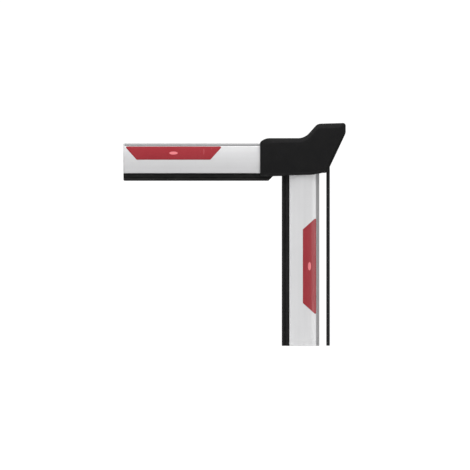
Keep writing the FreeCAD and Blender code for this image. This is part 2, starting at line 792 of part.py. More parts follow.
stop_pins = new_body("stop_pins")
stop_buffers = new_body("stop_buffers")
pin_section = new_sketch(stop_pins, "XZ_Plane", "section")
buffer_section = new_sketch(stop_buffers, "XZ_Plane", "section")
for place in stop_places:
    round_hole(pin_section, place, d.stop_radius)
    round_hole(buffer_section, place, d.buffer_radius)
    round_hole(buffer_section, place, d.stop_radius)
pad(pin_section, (d.plate_gap + d.plate_thick + PAST) * 2, symmetric=True)
pad(buffer_section, bush_face * 2, symmetric=True)
keep(stop_pins)
keep(stop_buffers)

# --- tie rod: a round bar with a screwed eye, a plain bush in the eye and a lock nut ------------

eye = new_body("rod_eye")
eye_ring = new_sketch(eye, "XZ_Plane", "ring")
round_hole(eye_ring, (0.0, 0.0), d.eye_radius)
pad(eye_ring, d.eye_half * 2, symmetric=True)
shank = new_sketch(eye, "XY_Plane", "shank", -d.shank_end)
round_hole(shank, (0.0, 0.0), d.shank_radius)
pad(shank, d.shank_end - (d.eye_radius + d.eye_bore) / 2)
bevel_edges(eye, d.cap_bevel, lambda e: centred_at(e, z=-d.shank_end))
eye_bore = new_sketch(eye, "XZ_Plane", "bore")
round_hole(eye_bore, (0.0, 0.0), d.eye_bore)
pocket(eye_bore)
eye_thread = new_sketch(eye, "XY_Plane", "thread", -d.shank_end)
round_hole(eye_thread, (0.0, 0.0), d.stud_radius + d.running)
pocket(eye_thread, d.shank_end - d.eye_radius - PAST, reverse=True)
keep_at_link(eye)

eye_bush = new_body("rod_eye_bush")
eye_bush_ring = new_sketch(eye_bush, "XZ_Plane", "ring")
round_hole(eye_bush_ring, (0.0, 0.0), d.eye_bore)
round_hole(eye_bush_ring, (0.0, 0.0), d.link_radius + d.running)
pad(eye_bush_ring, d.eye_half * 2, symmetric=True)
keep_at_link(eye_bush)

rod = new_body("tie_rod")
nut_low = -d.shank_end - d.nut_height - d.running * 2
rod_top = nut_low - d.running * 2
rod_foot = -d.elbow_height - d.crank
bar = new_sketch(rod, "XY_Plane", "bar", rod_foot)
round_hole(bar, (0.0, 0.0), d.rod_radius)
pad(bar, rod_top - rod_foot)
stud = new_sketch(rod, "XY_Plane", "stud", rod_top - PAST)
round_hole(stud, (0.0, 0.0), d.stud_radius)
pad(stud, -d.stud_end - rod_top + PAST)
bevel_edges(rod, d.cap_bevel, lambda e: centred_at(e, z=rod_foot) or (
    centred_at(e, z=rod_top) and e.BoundBox.XMax > d.stud_radius.value + PAST))
foot_thread = new_sketch(rod, "XY_Plane", "foot_thread", rod_foot)
round_hole(foot_thread, (0.0, 0.0), d.foot_thread)
pocket(foot_thread, d.foot_thread_depth, reverse=True)
keep_at_link(rod)

nut = new_body("rod_lock_nut")
nut_section = new_sketch(nut, "XY_Plane", "section", nut_low)
hexagon(nut_section, d.nut_flats)
pad(nut_section, d.nut_height)
nut_thread = new_sketch(nut, "XY_Plane", "thread", nut_low)
round_hole(nut_thread, (0.0, 0.0), d.stud_radius + d.running)
pocket(nut_thread)
keep_at_link(nut)

# --- knuckle cover: two moulded shells around the elbow, fixed to the outer boom ----------------

shell_corners = [
    # across, up and corner radius, anticlockwise from the lower left
    (-d.shell_left, -d.shell_base, 7.0),
    (d.belly_side, -d.belly_drop, 100.0),
    (d.lip_side, -d.chin_drop, 60.0),
    (d.chin_side, -d.chin_drop, 7.0),
    (d.nose_right, d.nose_low, 26.0),
    (d.nose_right, d.nose_top, 8.0),
    (d.nose_left, d.nose_heel, 22.0),
    (d.ramp_foot, d.shell_top, 45.0),
    (-d.shoulder_side, d.shell_top, 40.0),
    (-d.shell_left, d.shoulder_low, 8.0),
]
shell_wall = d.shell_outer - d.shell_inner
post_places = [
    (d.mouth_post_x, d.mouth_post_z), (d.saddle_post_x, d.saddle_post_z),
    (d.brow_post_x, d.brow_post_z), (d.nose_post_x, d.nose_post_z)]


def knuckle_shell(label, side):
    """One half of the cover.  side is -1 for the front half and 1 for the rear half."""
    front = side < 0
    body = new_body(label)
    shell = new_sketch(body, "XZ_Plane", "outline")
    outline(shell, [(x, z) for x, z, _ in shell_corners])
    pad(shell, d.shell_outer, reverse=not front)
    for x, z, radius in shell_corners:
        round_edges(body, radius, lambda e: along(e, ALONG_PIVOT) and centred_at(e, x=x, z=z))
    round_edges(body, d.rim_round, lambda e: centred_at(e, y=d.shell_outer * side, reach=0.01))

    # The hollow is open below and to the right, where the inner boom and the tie rod swing.
    left = shell_wall - d.shell_left
    base = shell_wall - d.shell_base
    top = d.shell_top - shell_wall
    well = base - d.arm_base / 2
    nose_inside = d.nose_right - shell_wall
    right_outside = d.nose_right + d.pivot_radius * 2
    cavity = new_sketch(body, "XZ_Plane", "cavity")
    outline(cavity, [
        (left, base), (-d.floor_right, base), (-d.floor_right, well), (d.chin_side * 1.2, well),
        (right_outside, d.nose_floor - d.hub_radius), (right_outside, d.nose_floor),
        (nose_inside, d.nose_floor), (nose_inside, d.nose_top - shell_wall),
        (d.nose_left + shell_wall / 2, d.nose_heel - shell_wall),
        (d.ramp_foot + shell_wall / 2, top), (shell_wall / 3 - d.shoulder_side, top),
        (left, d.shoulder_low - shell_wall / 2)])
    pocket(cavity, d.shell_inner, reverse=front)

    mouth = new_sketch(body, "YZ_Plane", "boom_mouth", -d.shell_left - PAST)
    low = -d.arm_base - d.boom_gap
    high = d.cover_top + d.boom_gap
    low_depth = face_depth(low, d.boom_gap)
    high_depth = face_depth(high, d.boom_gap)
    reach = face_radius + d.boom_gap
    outline(mouth, [(-low_depth, low), (low_depth, low), (high_depth, high), (-high_depth, high)],
            {1: reach, 3: reach})
    pocket(mouth, shell_wall * 2, reverse=True)
    rubber_way = new_sketch(body, "XZ_Plane", "rubber_way")
    box_outline(rubber_way, (-d.shell_left - PAST, -d.shell_base - PAST),
                (-d.outer_rubber_near + PAST, -d.arm_base))
    pocket(rubber_way, d.rubber_half + d.boom_gap, reverse=front)

    for count, place in enumerate(post_places, start=1):
        post = new_sketch(body, "XZ_Plane", f"post_{count}")
        round_hole(post, place, d.post_radius)
        pad(post, d.shell_inner + PAST, reverse=not front)
    hole_radius = d.shell_screw_radius + (d.running if front else d.snap_gap)
    holes = new_sketch(body, "XZ_Plane", "screw_holes")
    for place in post_places:
        round_hole(holes, place, hole_radius)
    if front:
        blind_depth = d.shell_screw_length - d.shell_screw_seat + d.block_inset
        pocket(holes, blind_depth, reverse=True)
    else:
        pocket(holes)
        seats = new_sketch(body, "XZ_Plane", "screw_seats", -d.shell_screw_seat)
        for place in post_places:
            round_hole(seats, place, d.shell_screw_head + d.snap_gap)
        pocket(seats, d.shell_outer)
    return body


keep(knuckle_shell("knuckle_cover_front", -1.0))
keep(knuckle_shell("knuckle_cover_rear", 1.0))

# --- screws: one form of each kind, linked to its places and grouped ----------------------------


def button_screw(label, radius, length, head_radius, head_height, socket_flats):
    """A screw along Y with its head towards -Y, and the seat of the head at the origin."""
    body = new_body(label)
    profile = new_sketch(body, "XY_Plane", "profile")
    outline(profile, [
        (0.0, -head_height), (head_radius * 0.65, -head_height),
        (head_radius, -head_height * 0.45), (head_radius, 0.0), (radius, 0.0),
        (radius, length - radius / 3), (radius * 0.7, length), (0.0, length)])
    turn(profile)
    drive = new_sketch(body, "XZ_Plane", "drive", head_height)
    hexagon(drive, socket_flats)
    pocket(drive, head_height * 0.6)
    return body


def screw_group(label, form, places, frame="elbow"):
    """A compound of links to one screw, each turned and moved to its place."""
    links = []
    for count, (x, y, z, turned) in enumerate(places, start=1):
        link = doc.addObject("App::Link", f"{label}_{count}")
        link.LinkedObject = form
        link.Placement = Placement(Vector(number(x), number(y), number(z)), turned)
        for axis, size in zip("xyz", (x, y, z)):
            bind(link, f"Placement.Base.{axis}", size)
        links.append(link)
    group = doc.addObject("Part::Compound", label)
    group.Links = links
    doc.recompute()
    keep(group, frame)


FROM_FRONT = Rotation()
FROM_REAR = Rotation(Vector(0, 0, 1), 180)
FROM_TIP = Rotation(Vector(1, 0, 0), -90)

boom_screw = button_screw("boom_screw_form", d.boom_screw_radius, d.boom_screw_length,
                          d.boom_screw_head, d.boom_screw_height, d.stop_radius)
boom_seats = ((-d.boom_screw_seat, FROM_FRONT), (d.boom_screw_seat, FROM_REAR))
screw_group("fork_screws", boom_screw, [
    (x, seat, z, turned) for x, z in fork_screw_places() for seat, turned in boom_seats])
screw_group("tongue_screws", boom_screw, [
    (d.screw_row * side, seat, -d.tongue_screw, turned)
    for side in BOTH_SIDES for seat, turned in boom_seats])

shell_screw = button_screw("shell_screw_form", d.shell_screw_radius, d.shell_screw_length,
                           d.shell_screw_head, d.shell_screw_height, d.foot_thread)
screw_group("cover_screws", shell_screw,
            [(x, d.shell_screw_seat, z, FROM_REAR) for x, z in post_places])

cap_screw = new_body("cap_screw_form")
cap_screw_profile = new_sketch(cap_screw, "XY_Plane", "profile")
sink = d.cap_screw_head - d.cap_screw_radius
outline(cap_screw_profile, [
    (0.0, -d.cap_thick), (d.cap_screw_head, -d.cap_thick), (d.cap_screw_radius, sink - d.cap_thick),
    (d.cap_screw_radius, d.cap_plug), (0.0, d.cap_screw_length)])
turn(cap_screw_profile)
cross_long = d.cap_screw_head * 0.45
cross_wide = d.cap_screw_head * 0.12
cap_drive = new_sketch(cap_screw, "XZ_Plane", "drive", d.cap_thick)
outline(cap_drive, [
    (-cross_long, -cross_wide), (-cross_wide, -cross_wide), (-cross_wide, -cross_long),
    (cross_wide, -cross_long), (cross_wide, -cross_wide), (cross_long, -cross_wide),
    (cross_long, cross_wide), (cross_wide, cross_wide), (cross_wide, cross_long),
    (-cross_wide, cross_long), (-cross_wide, cross_wide), (-cross_long, cross_wide)])
pocket(cap_drive, cross_long)
screw_group("tip_cap_screws", cap_screw, [
    (d.port_offset * side, 0.0, outer_far, FROM_TIP) for side in BOTH_SIDES], "outer")

# --- check and export ---------------------------------------------------------------------------

doc.recompute()
for thing in doc.Objects:
    if "Invalid" in thing.State or "Error" in thing.State:
        raise RuntimeError(f"{thing.Name} failed: {thing.State}")
for part in SUB_PARTS:
    if part.Shape.isNull() or not part.Shape.isValid() or not part.Shape.Solids:
        raise RuntimeError(f"{part.Label} has no valid solid")
os.makedirs("parts", exist_ok=True)
for part in SUB_PARTS:
    part.Shape.exportStep(f"parts/{part.Label}.step")
    box = part.Shape.BoundBox
    print(f"{part.Label:22s} {len(part.Shape.Solids)} solids {part.Shape.Volume / 1000:8.2f} cm3  "
          f"x {box.XMin:.1f}..{box.XMax:.1f}  y {box.YMin:.1f}..{box.YMax:.1f}  "
          f"z {box.ZMin:.1f}..{box.ZMax:.1f}")
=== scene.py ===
import json
import math

import bmesh
import bpy
from mathutils import Matrix, Vector, geometry


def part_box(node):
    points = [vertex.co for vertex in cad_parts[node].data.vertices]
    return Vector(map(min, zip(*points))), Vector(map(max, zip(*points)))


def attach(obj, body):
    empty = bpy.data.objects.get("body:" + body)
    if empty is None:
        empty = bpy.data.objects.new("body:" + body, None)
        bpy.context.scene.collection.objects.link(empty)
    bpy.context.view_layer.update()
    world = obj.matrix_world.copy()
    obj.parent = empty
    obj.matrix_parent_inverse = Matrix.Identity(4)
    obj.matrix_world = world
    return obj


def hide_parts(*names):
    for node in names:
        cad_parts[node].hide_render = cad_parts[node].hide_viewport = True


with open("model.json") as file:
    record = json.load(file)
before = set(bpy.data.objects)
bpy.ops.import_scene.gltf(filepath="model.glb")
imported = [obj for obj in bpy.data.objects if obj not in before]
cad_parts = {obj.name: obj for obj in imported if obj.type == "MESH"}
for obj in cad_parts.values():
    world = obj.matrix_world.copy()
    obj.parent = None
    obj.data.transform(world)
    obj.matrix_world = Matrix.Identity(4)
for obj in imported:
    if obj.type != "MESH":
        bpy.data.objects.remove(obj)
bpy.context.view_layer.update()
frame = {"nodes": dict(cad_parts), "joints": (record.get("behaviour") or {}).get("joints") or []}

# ---------------------------------------------------------------------------------------------
# Camera: square to the front of the elbow and far away, so that the booms hardly converge.
# It is aimed at the middle of the corner that the two booms make.
# ---------------------------------------------------------------------------------------------

CAMERA_DISTANCE = 6.0
VIEW_WIDTH = 1.41
SENSOR = 36.0
AIM_X = -0.2085
AIM_HEIGHT = 0.3332
front_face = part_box("outer_arm")[0].y

camera_data = bpy.data.cameras.new("camera")
camera_data.sensor_width = SENSOR
camera_data.lens = SENSOR * CAMERA_DISTANCE / VIEW_WIDTH
camera = bpy.data.objects.new("camera", camera_data)
camera.location = (AIM_X, front_face - CAMERA_DISTANCE, AIM_HEIGHT)
camera.rotation_euler = (math.radians(90), 0, 0)
bpy.context.scene.collection.objects.link(camera)
bpy.context.scene.camera = camera

# ---------------------------------------------------------------------------------------------
# Studio: a matt white table under the lowest travel of the tie rod, a white surround behind it
# and soft boxes above, behind and to both sides.
# ---------------------------------------------------------------------------------------------


def node(tree, kind, inputs=None, **settings):
    """A shader node with its settings made and its inputs set, or joined where a socket is given."""
    made = tree.nodes.new(kind)
    for name, value in settings.items():
        setattr(made, name, value)
    for key, value in (inputs or {}).items():
        if isinstance(value, bpy.types.NodeSocket):
            tree.links.new(value, made.inputs[key])
        else:
            made.inputs[key].default_value = value
    return made


def ramp(tree, value, low, high, start=0.0, stop=1.0):
    """A value from 0..1, or from start..stop, carried over to low..high."""
    return node(tree, "ShaderNodeMapRange", {
        "Value": value, "From Min": start, "From Max": stop, "To Min": low, "To Max": high,
    }).outputs["Result"]


TABLE_HEIGHT = -0.30
TABLE_RADIUS = 1.6
TABLE_X = -0.21
TABLE_SIDES = 96
table_mesh = bpy.data.meshes.new("studio_table")
turns = [math.tau * k / TABLE_SIDES for k in range(TABLE_SIDES)]
rim = [(TABLE_RADIUS * math.cos(turn) + TABLE_X, TABLE_RADIUS * math.sin(turn), TABLE_HEIGHT)
       for turn in turns]
table_mesh.from_pydata(rim, [], [range(TABLE_SIDES)])
studio_table = bpy.data.objects.new("studio_table", table_mesh)
bpy.context.scene.collection.objects.link(studio_table)
table_paint = bpy.data.materials.new("table_paint")
table_paint.use_nodes = True
table_shader = table_paint.node_tree.nodes["Principled BSDF"]
table_shader.inputs["Base Color"].default_value = (0.9, 0.9, 0.9, 1)
table_shader.inputs["Roughness"].default_value = 0.8
table_shader.inputs["Emission Color"].default_value = (1, 1, 1, 1)
table_shader.inputs["Emission Strength"].default_value = 0.12
table_mesh.materials.append(table_paint)

world = bpy.data.worlds.new("studio")
bpy.context.scene.world = world
world.use_nodes = True
tree = world.node_tree
seen = node(tree, "ShaderNodeLightPath")
surround = tree.nodes["Background"]
surround.inputs["Color"].default_value = (1, 1, 1, 1)
brightness = ramp(tree, seen.outputs["Is Camera Ray"], 0.27, 1.05)
tree.links.new(brightness, surround.inputs["Strength"])

ELBOW = Vector((-0.15, 0, 0.45))


def soft_box(name, place, width, height, power):
    """A lamp in watts, aimed at the elbow and itself out of sight."""
    data = bpy.data.lights.new(name, "AREA")
    data.shape = "RECTANGLE"
    data.size = width
    data.size_y = height
    data.energy = power
    lamp = bpy.data.objects.new(name, data)
    lamp.location = place
    lamp.visible_camera = False
    lamp.rotation_euler = (ELBOW - Vector(place)).to_track_quat("-Z", "Y").to_euler()
    bpy.context.scene.collection.objects.link(lamp)


soft_box("top_box", (-0.2, -0.6, 2.6), 2.6, 1.6, 82)
soft_box("left_box", (-1.75, -2.75, 0.6), 0.7, 2.4, 4)
soft_box("far_left_box", (-2.6, -0.5, 0.7), 0.8, 1.8, 14)
soft_box("right_box", (1.50, -2.75, 0.6), 0.7, 2.4, 17)
soft_box("rear_box", (0.3, 2.6, 1.4), 2.2, 1.4, 38)
bpy.context.scene.view_settings.view_transform = "Standard"

# ---------------------------------------------------------------------------------------------
# Booms: aluminium extrusions with bowed faces, powder coated pale grey-white. The coat keeps
# fine lengthwise lines from the die under its orange peel; worn edges show the metal.
# ---------------------------------------------------------------------------------------------


def new_group(name, inputs, outputs):
    """An empty node group with its input and output nodes."""
    group = bpy.data.node_groups.new(name, "ShaderNodeTree")
    for label, kind, value in inputs:
        socket = group.interface.new_socket(label, in_out="INPUT", socket_type=kind)
        socket.default_value = value
    for label, kind in outputs:
        group.interface.new_socket(label, in_out="OUTPUT", socket_type=kind)
    return group, node(group, "NodeGroupInput"), node(group, "NodeGroupOutput")


def maths(tree, operation, first, second, clamp=False):
    """The result of an operation on two values or sockets."""
    return node(tree, "ShaderNodeMath", {0: first, 1: second}, operation=operation,
                use_clamp=clamp).outputs[0]


def noise(tree, place, scale, detail, rough=0.5):
    return node(tree, "ShaderNodeTexNoise", {
        "Vector": place, "Scale": scale, "Detail": detail, "Roughness": rough}).outputs["Fac"]


FLOAT, VECTOR = "NodeSocketFloat", "NodeSocketVector"


def make_grain_group():
    """Fine bumps of a given size, and slow cloudy variation over a hundred times that size."""
    group, given, out = new_group(
        "Grain", [("Size", FLOAT, 0.001), ("Cloud Size", FLOAT, 0.1)],
        [("Height", FLOAT), ("Cloud", FLOAT)])
    place = node(group, "ShaderNodeTexCoord").outputs["Object"]
    for size, result, detail in (("Size", "Height", 3.0), ("Cloud Size", "Cloud", 5.0)):
        scale = maths(group, "DIVIDE", 1.0, given.outputs[size])
        group.links.new(noise(group, place, scale, detail, 0.55), out.inputs[result])
    return group


def make_lines_group():
    """Drawn lines: noise pulled out along the boom. Stretch is the scale on each axis."""
    group, given, out = new_group(
        "Drawn lines", [("Stretch", VECTOR, (1.0, 1.0, 0.01)), ("Size", FLOAT, 0.001)],
        [("Height", FLOAT), ("Streak", FLOAT)])
    place = node(group, "ShaderNodeTexCoord").outputs["Object"]
    pulled = node(group, "ShaderNodeVectorMath", {0: place, 1: given.outputs["Stretch"]},
                  operation="MULTIPLY").outputs[0]
    scale = maths(group, "DIVIDE", 1.0, given.outputs["Size"])
    group.links.new(noise(group, pulled, scale, 2.0), out.inputs["Height"])
    broad = maths(group, "MULTIPLY", scale, 0.08)
    group.links.new(noise(group, pulled, broad, 4.0), out.inputs["Streak"])
    return group


def make_edge_group():
    """Worn edges: where the surface turns within the radius, broken up by noise."""
    group, given, out = new_group(
        "Edge wear", [("Radius", FLOAT, 0.001), ("Break Size", FLOAT, 0.004), ("Amount", FLOAT, 0.5)],
        [("Mask", FLOAT)])
    rounded = node(group, "ShaderNodeBevel", {"Radius": given.outputs["Radius"]}, samples=6)
    true_normal = node(group, "ShaderNodeNewGeometry").outputs["Normal"]
    same = node(group, "ShaderNodeVectorMath", {0: rounded.outputs[0], 1: true_normal},
                operation="DOT_PRODUCT").outputs["Value"]
    place = node(group, "ShaderNodeTexCoord").outputs["Object"]
    scale = maths(group, "DIVIDE", 1.0, given.outputs["Break Size"])
    patches = ramp(group, noise(group, place, scale, 6.0, 0.7), 0.0, 1.0, 0.42, 0.62)
    worn = maths(group, "MULTIPLY", ramp(group, same, 0.0, 1.0, 0.995, 0.9), patches)
    scaled = maths(group, "MULTIPLY", worn, given.outputs["Amount"], clamp=True)
    group.links.new(scaled, out.inputs["Mask"])
    return group


def make_scratch_group():
    """Sparse fine scratches and rub marks, mostly one way."""
    group, given, out = new_group(
        "Scratches", [("Size", FLOAT, 0.01), ("Amount", FLOAT, 0.5)], [("Mask", FLOAT)])
    place = node(group, "ShaderNodeTexCoord").outputs["Object"]
    scale = maths(group, "DIVIDE", 1.0, given.outputs["Size"])
    lines = []
    for angle, offset in ((0.35, 0.0), (-0.9, 3.1)):
        turned = node(group, "ShaderNodeMapping", {
            "Vector": place, "Location": (offset, offset, 0.0), "Rotation": (angle, angle, angle),
            "Scale": (1.0, 1.0, 0.04)}).outputs[0]
        lines.append(ramp(group, noise(group, turned, scale, 5.0, 0.65), 0.0, 1.0, 0.66, 0.72))
    marks = maths(group, "MAXIMUM", *lines)
    faint = maths(group, "MULTIPLY", marks, given.outputs["Amount"], clamp=True)
    group.links.new(faint, out.inputs["Mask"])
    return group


def make_dust_group():
    """Dust that has settled on what faces up, in soft patches."""
    group, given, out = new_group(
        "Dust", [("Patch Size", FLOAT, 0.05), ("Amount", FLOAT, 0.3)], [("Mask", FLOAT)])
    source = node(group, "ShaderNodeTexCoord")
    up = node(group, "ShaderNodeSeparateXYZ", {0: source.outputs["Normal"]})
    facing = ramp(group, up.outputs["Z"], 0.12, 1.0, 0.2, 1.0)
    scale = maths(group, "DIVIDE", 1.0, given.outputs["Patch Size"])
    patches = ramp(group, noise(group, source.outputs["Object"], scale, 8.0, 0.65),
                   0.0, 1.0, 0.38, 0.7)
    settled = maths(group, "MULTIPLY", facing, patches)
    scaled = maths(group, "MULTIPLY", settled, given.outputs["Amount"], clamp=True)
    group.links.new(scaled, out.inputs["Mask"])
    return group


grain_group = make_grain_group()
lines_group = make_lines_group()
edge_group = make_edge_group()
scratch_group = make_scratch_group()
dust_group = make_dust_group()


def placed(tree, group, **values):
    """The group as a node in a material, with its inputs by name."""
    made = node(tree, "ShaderNodeGroup", node_tree=group)
    for label, value in values.items():
        made.inputs[label.replace("_", " ")].default_value = value
    return made


def mixed(tree, mask, first, second):
    """first where the mask is 0 and second where it is 1; each is a colour or a socket."""
    made = node(tree, "ShaderNodeMix", {"Factor": mask}, data_type="RGBA")
    for index, value in ((6, first), (7, second)):
        if isinstance(value, bpy.types.NodeSocket):
            tree.links.new(value, made.inputs[index])
        else:
            made.inputs[index].default_value = (*value, 1)
    return made.outputs[2]


def bumped(tree, height, depth, under=None):
    """A bump of the given depth in metres, on top of another bump if there is one."""
    inputs = {"Height": height, "Distance": depth, "Strength": 1.0}
    if under is not None:
        inputs["Normal"] = under
    return node(tree, "ShaderNodeBump", inputs).outputs["Normal"]


def new_material(name):
    """A material with its node tree and its main shader."""
    material = bpy.data.materials.new(name)
    material.use_nodes = True
    shader = material.node_tree.nodes["Principled BSDF"]
    return material, material.node_tree, shader


def feed(tree, shader, **values):
    """Sets the shader's sockets by name, or joins them where a socket is given."""
    for label, value in values.items():
        socket = shader.inputs[label.replace("_", " ")]
        if isinstance(value, bpy.types.NodeSocket):
            tree.links.new(value, socket)
        else:
            socket.default_value = value


def dress(material, *names):
    """Gives CAD nodes a finish in place of the plain one they come with."""
    for name in names:
        materials = frame["nodes"][name].data.materials
        materials.clear()
        materials.append(material)


def powder_coat(name, stretch):
    material, tree, shader = new_material(name)
    peel = placed(tree, grain_group, Size=0.0022, Cloud_Size=0.16)
    speck = placed(tree, grain_group, Size=0.0006, Cloud_Size=0.03)
    die = placed(tree, lines_group, Stretch=stretch, Size=0.0011)
    dust = placed(tree, dust_group, Patch_Size=0.03, Amount=0.35)
    marks = placed(tree, scratch_group, Size=0.012, Amount=0.5)
    worn = placed(tree, edge_group, Radius=0.0012, Break_Size=0.006, Amount=0.8)
    tone = mixed(tree, peel.outputs["Cloud"], (0.62, 0.62, 0.63), (0.70, 0.70, 0.705))
    tone = mixed(tree, ramp(tree, die.outputs["Streak"], 0.0, 0.25, 0.35, 0.7), tone,
                 (0.56, 0.56, 0.575))
    tone = mixed(tree, dust.outputs["Mask"], tone, (0.48, 0.46, 0.42))
    tone = mixed(tree, ramp(tree, marks.outputs["Mask"], 0.0, 0.35), tone, (0.48, 0.48, 0.49))
    tone = mixed(tree, worn.outputs["Mask"], tone, (0.42, 0.42, 0.43))
    rough = ramp(tree, speck.outputs["Cloud"], 0.30, 0.44, 0.3, 0.7)
    under = bumped(tree, die.outputs["Height"], 0.00002)
    over = bumped(tree, peel.outputs["Height"], 0.00004, under)
    feed(tree, shader, Base_Color=tone, Roughness=rough, Normal=over, Coat_Weight=0.6,
         Coat_Roughness=0.14, IOR=1.5,
         Metallic=ramp(tree, worn.outputs["Mask"], 0.0, 0.9, 0.3, 0.8))
    return material


ALONG_Z = (1.0, 1.0, 0.006)
ALONG_X = (0.006, 1.0, 1.0)
dress(powder_coat("powder_coat_inner", ALONG_Z), "inner_arm")
dress(powder_coat("powder_coat_outer", ALONG_X), "outer_arm")

# ---------------------------------------------------------------------------------------------
# Tongue and spacer block: milled from aluminium bar. The tongue is screwed inside the top of the
# inner boom and carries the pivot; the block keeps the fork plates apart inside the outer boom.
# ---------------------------------------------------------------------------------------------


def milled_aluminium(name, stretch):
    material, tree, shader = new_material(name)
    cutter = placed(tree, lines_group, Stretch=stretch, Size=0.0009)
    grain = placed(tree, grain_group, Size=0.0005, Cloud_Size=0.025)
    marks = placed(tree, scratch_group, Size=0.006, Amount=0.7)
    worn = placed(tree, edge_group, Radius=0.0006, Break_Size=0.003, Amount=0.7)
    tone = mixed(tree, cutter.outputs["Streak"], (0.50, 0.51, 0.52), (0.66, 0.66, 0.67))
    tone = mixed(tree, ramp(tree, grain.outputs["Cloud"], 0.0, 0.4, 0.5, 0.8), tone,
                 (0.40, 0.40, 0.40))
    tone = mixed(tree, worn.outputs["Mask"], tone, (0.80, 0.80, 0.81))
    rough = ramp(tree, grain.outputs["Cloud"], 0.28, 0.46, 0.3, 0.7)
    rough = maths(tree, "ADD", rough, ramp(tree, marks.outputs["Mask"], 0.0, 0.15))
    feed(tree, shader, Base_Color=tone, Roughness=rough, Metallic=1.0,
         Normal=bumped(tree, cutter.outputs["Height"], 0.00003))
    return material


dress(milled_aluminium("milled_tongue", ALONG_Z), "inner_tongue")
dress(milled_aluminium("milled_block", ALONG_X), "fork_spacer")

# ---------------------------------------------------------------------------------------------
# Fork plates: laser-cut from 5 mm steel and zinc plated. Their tails lie inside the outer boom
# and the crank that carries the tie rod is their upper corner.
# ---------------------------------------------------------------------------------------------


def worked_metal(name, bright, dull, rough, grain_size, mark_amount):
    """Bare or plated metal: cloudy between two tones, finely grained, marked and bright at edges."""
    material, tree, shader = new_material(name)
    grain = placed(tree, grain_group, Size=grain_size, Cloud_Size=0.018)
    stain = placed(tree, grain_group, Size=grain_size * 4, Cloud_Size=0.05)
    marks = placed(tree, scratch_group, Size=0.005, Amount=mark_amount)
    worn = placed(tree, edge_group, Radius=0.0005, Break_Size=0.0025, Amount=0.8)
    tone = mixed(tree, ramp(tree, grain.outputs["Cloud"], 0.0, 1.0, 0.3, 0.7), bright, dull)
    darker = tuple(part * 0.6 for part in dull)
    tone = mixed(tree, ramp(tree, stain.outputs["Cloud"], 0.0, 0.6, 0.55, 0.75), tone, darker)
    lighter = tuple(min(1.0, part * 1.35) for part in bright)
    tone = mixed(tree, marks.outputs["Mask"], tone, lighter)
    tone = mixed(tree, worn.outputs["Mask"], tone, lighter)
    feed(tree, shader, Base_Color=tone, Metallic=1.0,
         Roughness=ramp(tree, stain.outputs["Cloud"], rough, rough + 0.2, 0.3, 0.7),
         Normal=bumped(tree, grain.outputs["Height"], 0.00002))
    return material


ZINC_BRIGHT = (0.52, 0.52, 0.50)
ZINC_DULL = (0.40, 0.41, 0.42)
dress(worked_metal("zinc_plate", ZINC_BRIGHT, ZINC_DULL, 0.30, 0.0008, 0.5),
      "fork_plate_front", "fork_plate_rear")

# ---------------------------------------------------------------------------------------------
# Pivot pin, link pin, stop pins and retaining rings: turned and ground bright steel. The pins lie
# in the fork plates, and the rings snap into grooves outside the plates.
# ---------------------------------------------------------------------------------------------

dress(worked_metal("turned_steel", (0.66, 0.66, 0.66), (0.50, 0.50, 0.51), 0.16, 0.0004, 0.35),
      "pivot_pin", "pivot_rings", "link_pin", "link_pin_rings", "stop_pins")

# ---------------------------------------------------------------------------------------------
# Bushes: flanged sintered bronze in the tongue's bore and a plain one in the tie rod's eye,
# pressed in and soaked with oil.
# ---------------------------------------------------------------------------------------------

dress(worked_metal("sintered_bronze", (0.55, 0.34, 0.14), (0.40, 0.23, 0.09), 0.34, 0.0003, 0.2),
      "pivot_bushes", "rod_eye_bush")

# ---------------------------------------------------------------------------------------------
# Link spacers: two turned nylon tubes that keep the tie rod's eye in the middle of its pin.
# ---------------------------------------------------------------------------------------------


def black_plastic(name, tone, pale, rough, grain_size, grain_depth, dusty, rubbed):
    """Black plastic or rubber: grained, a little dusty on top, paler where it has been rubbed."""
    material, tree, shader = new_material(name)
    grain = placed(tree, grain_group, Size=grain_size, Cloud_Size=0.06)
    bloom = placed(tree, grain_group, Size=0.004, Cloud_Size=0.2)
    dust = placed(tree, dust_group, Patch_Size=0.02, Amount=dusty)
    marks = placed(tree, scratch_group, Size=0.010, Amount=rubbed)
    worn = placed(tree, edge_group, Radius=0.0012, Break_Size=0.005, Amount=rubbed)
    colour = mixed(tree, ramp(tree, bloom.outputs["Cloud"], 0.0, 1.0, 0.35, 0.7), tone,
                   tuple(part * 1.5 for part in tone))
    colour = mixed(tree, marks.outputs["Mask"], colour, pale)
    colour = mixed(tree, worn.outputs["Mask"], colour, pale)
    colour = mixed(tree, dust.outputs["Mask"], colour, (0.16, 0.15, 0.13))
    feed(tree, shader, Base_Color=colour, IOR=1.45, Specular_IOR_Level=0.15,
         Roughness=ramp(tree, grain.outputs["Cloud"], rough - 0.08, rough + 0.1, 0.3, 0.7),
         Normal=bumped(tree, grain.outputs["Height"], grain_depth))
    return material


dress(black_plastic("turned_nylon", (0.016, 0.016, 0.016), (0.08, 0.08, 0.08), 0.42,
                    0.0005, 0.00003, 0.05, 0.2), "link_spacers")

# ---------------------------------------------------------------------------------------------
# Stop buffers: short rubber sleeves pushed over the stop pins. The tongue meets them at both
# ends of the elbow's travel.
# ---------------------------------------------------------------------------------------------

dress(black_plastic("buffer_rubber", (0.015, 0.015, 0.015), (0.05, 0.05, 0.05), 0.7,
                    0.0008, 0.00006, 0.05, 0.3), "stop_buffers")

# ---------------------------------------------------------------------------------------------
# Screws and lock nut: cold-headed steel, zinc plated. Button heads with hexagon sockets hold the
# tongue, the fork and the knuckle cover; countersunk ones hold the tip cap.
# ---------------------------------------------------------------------------------------------

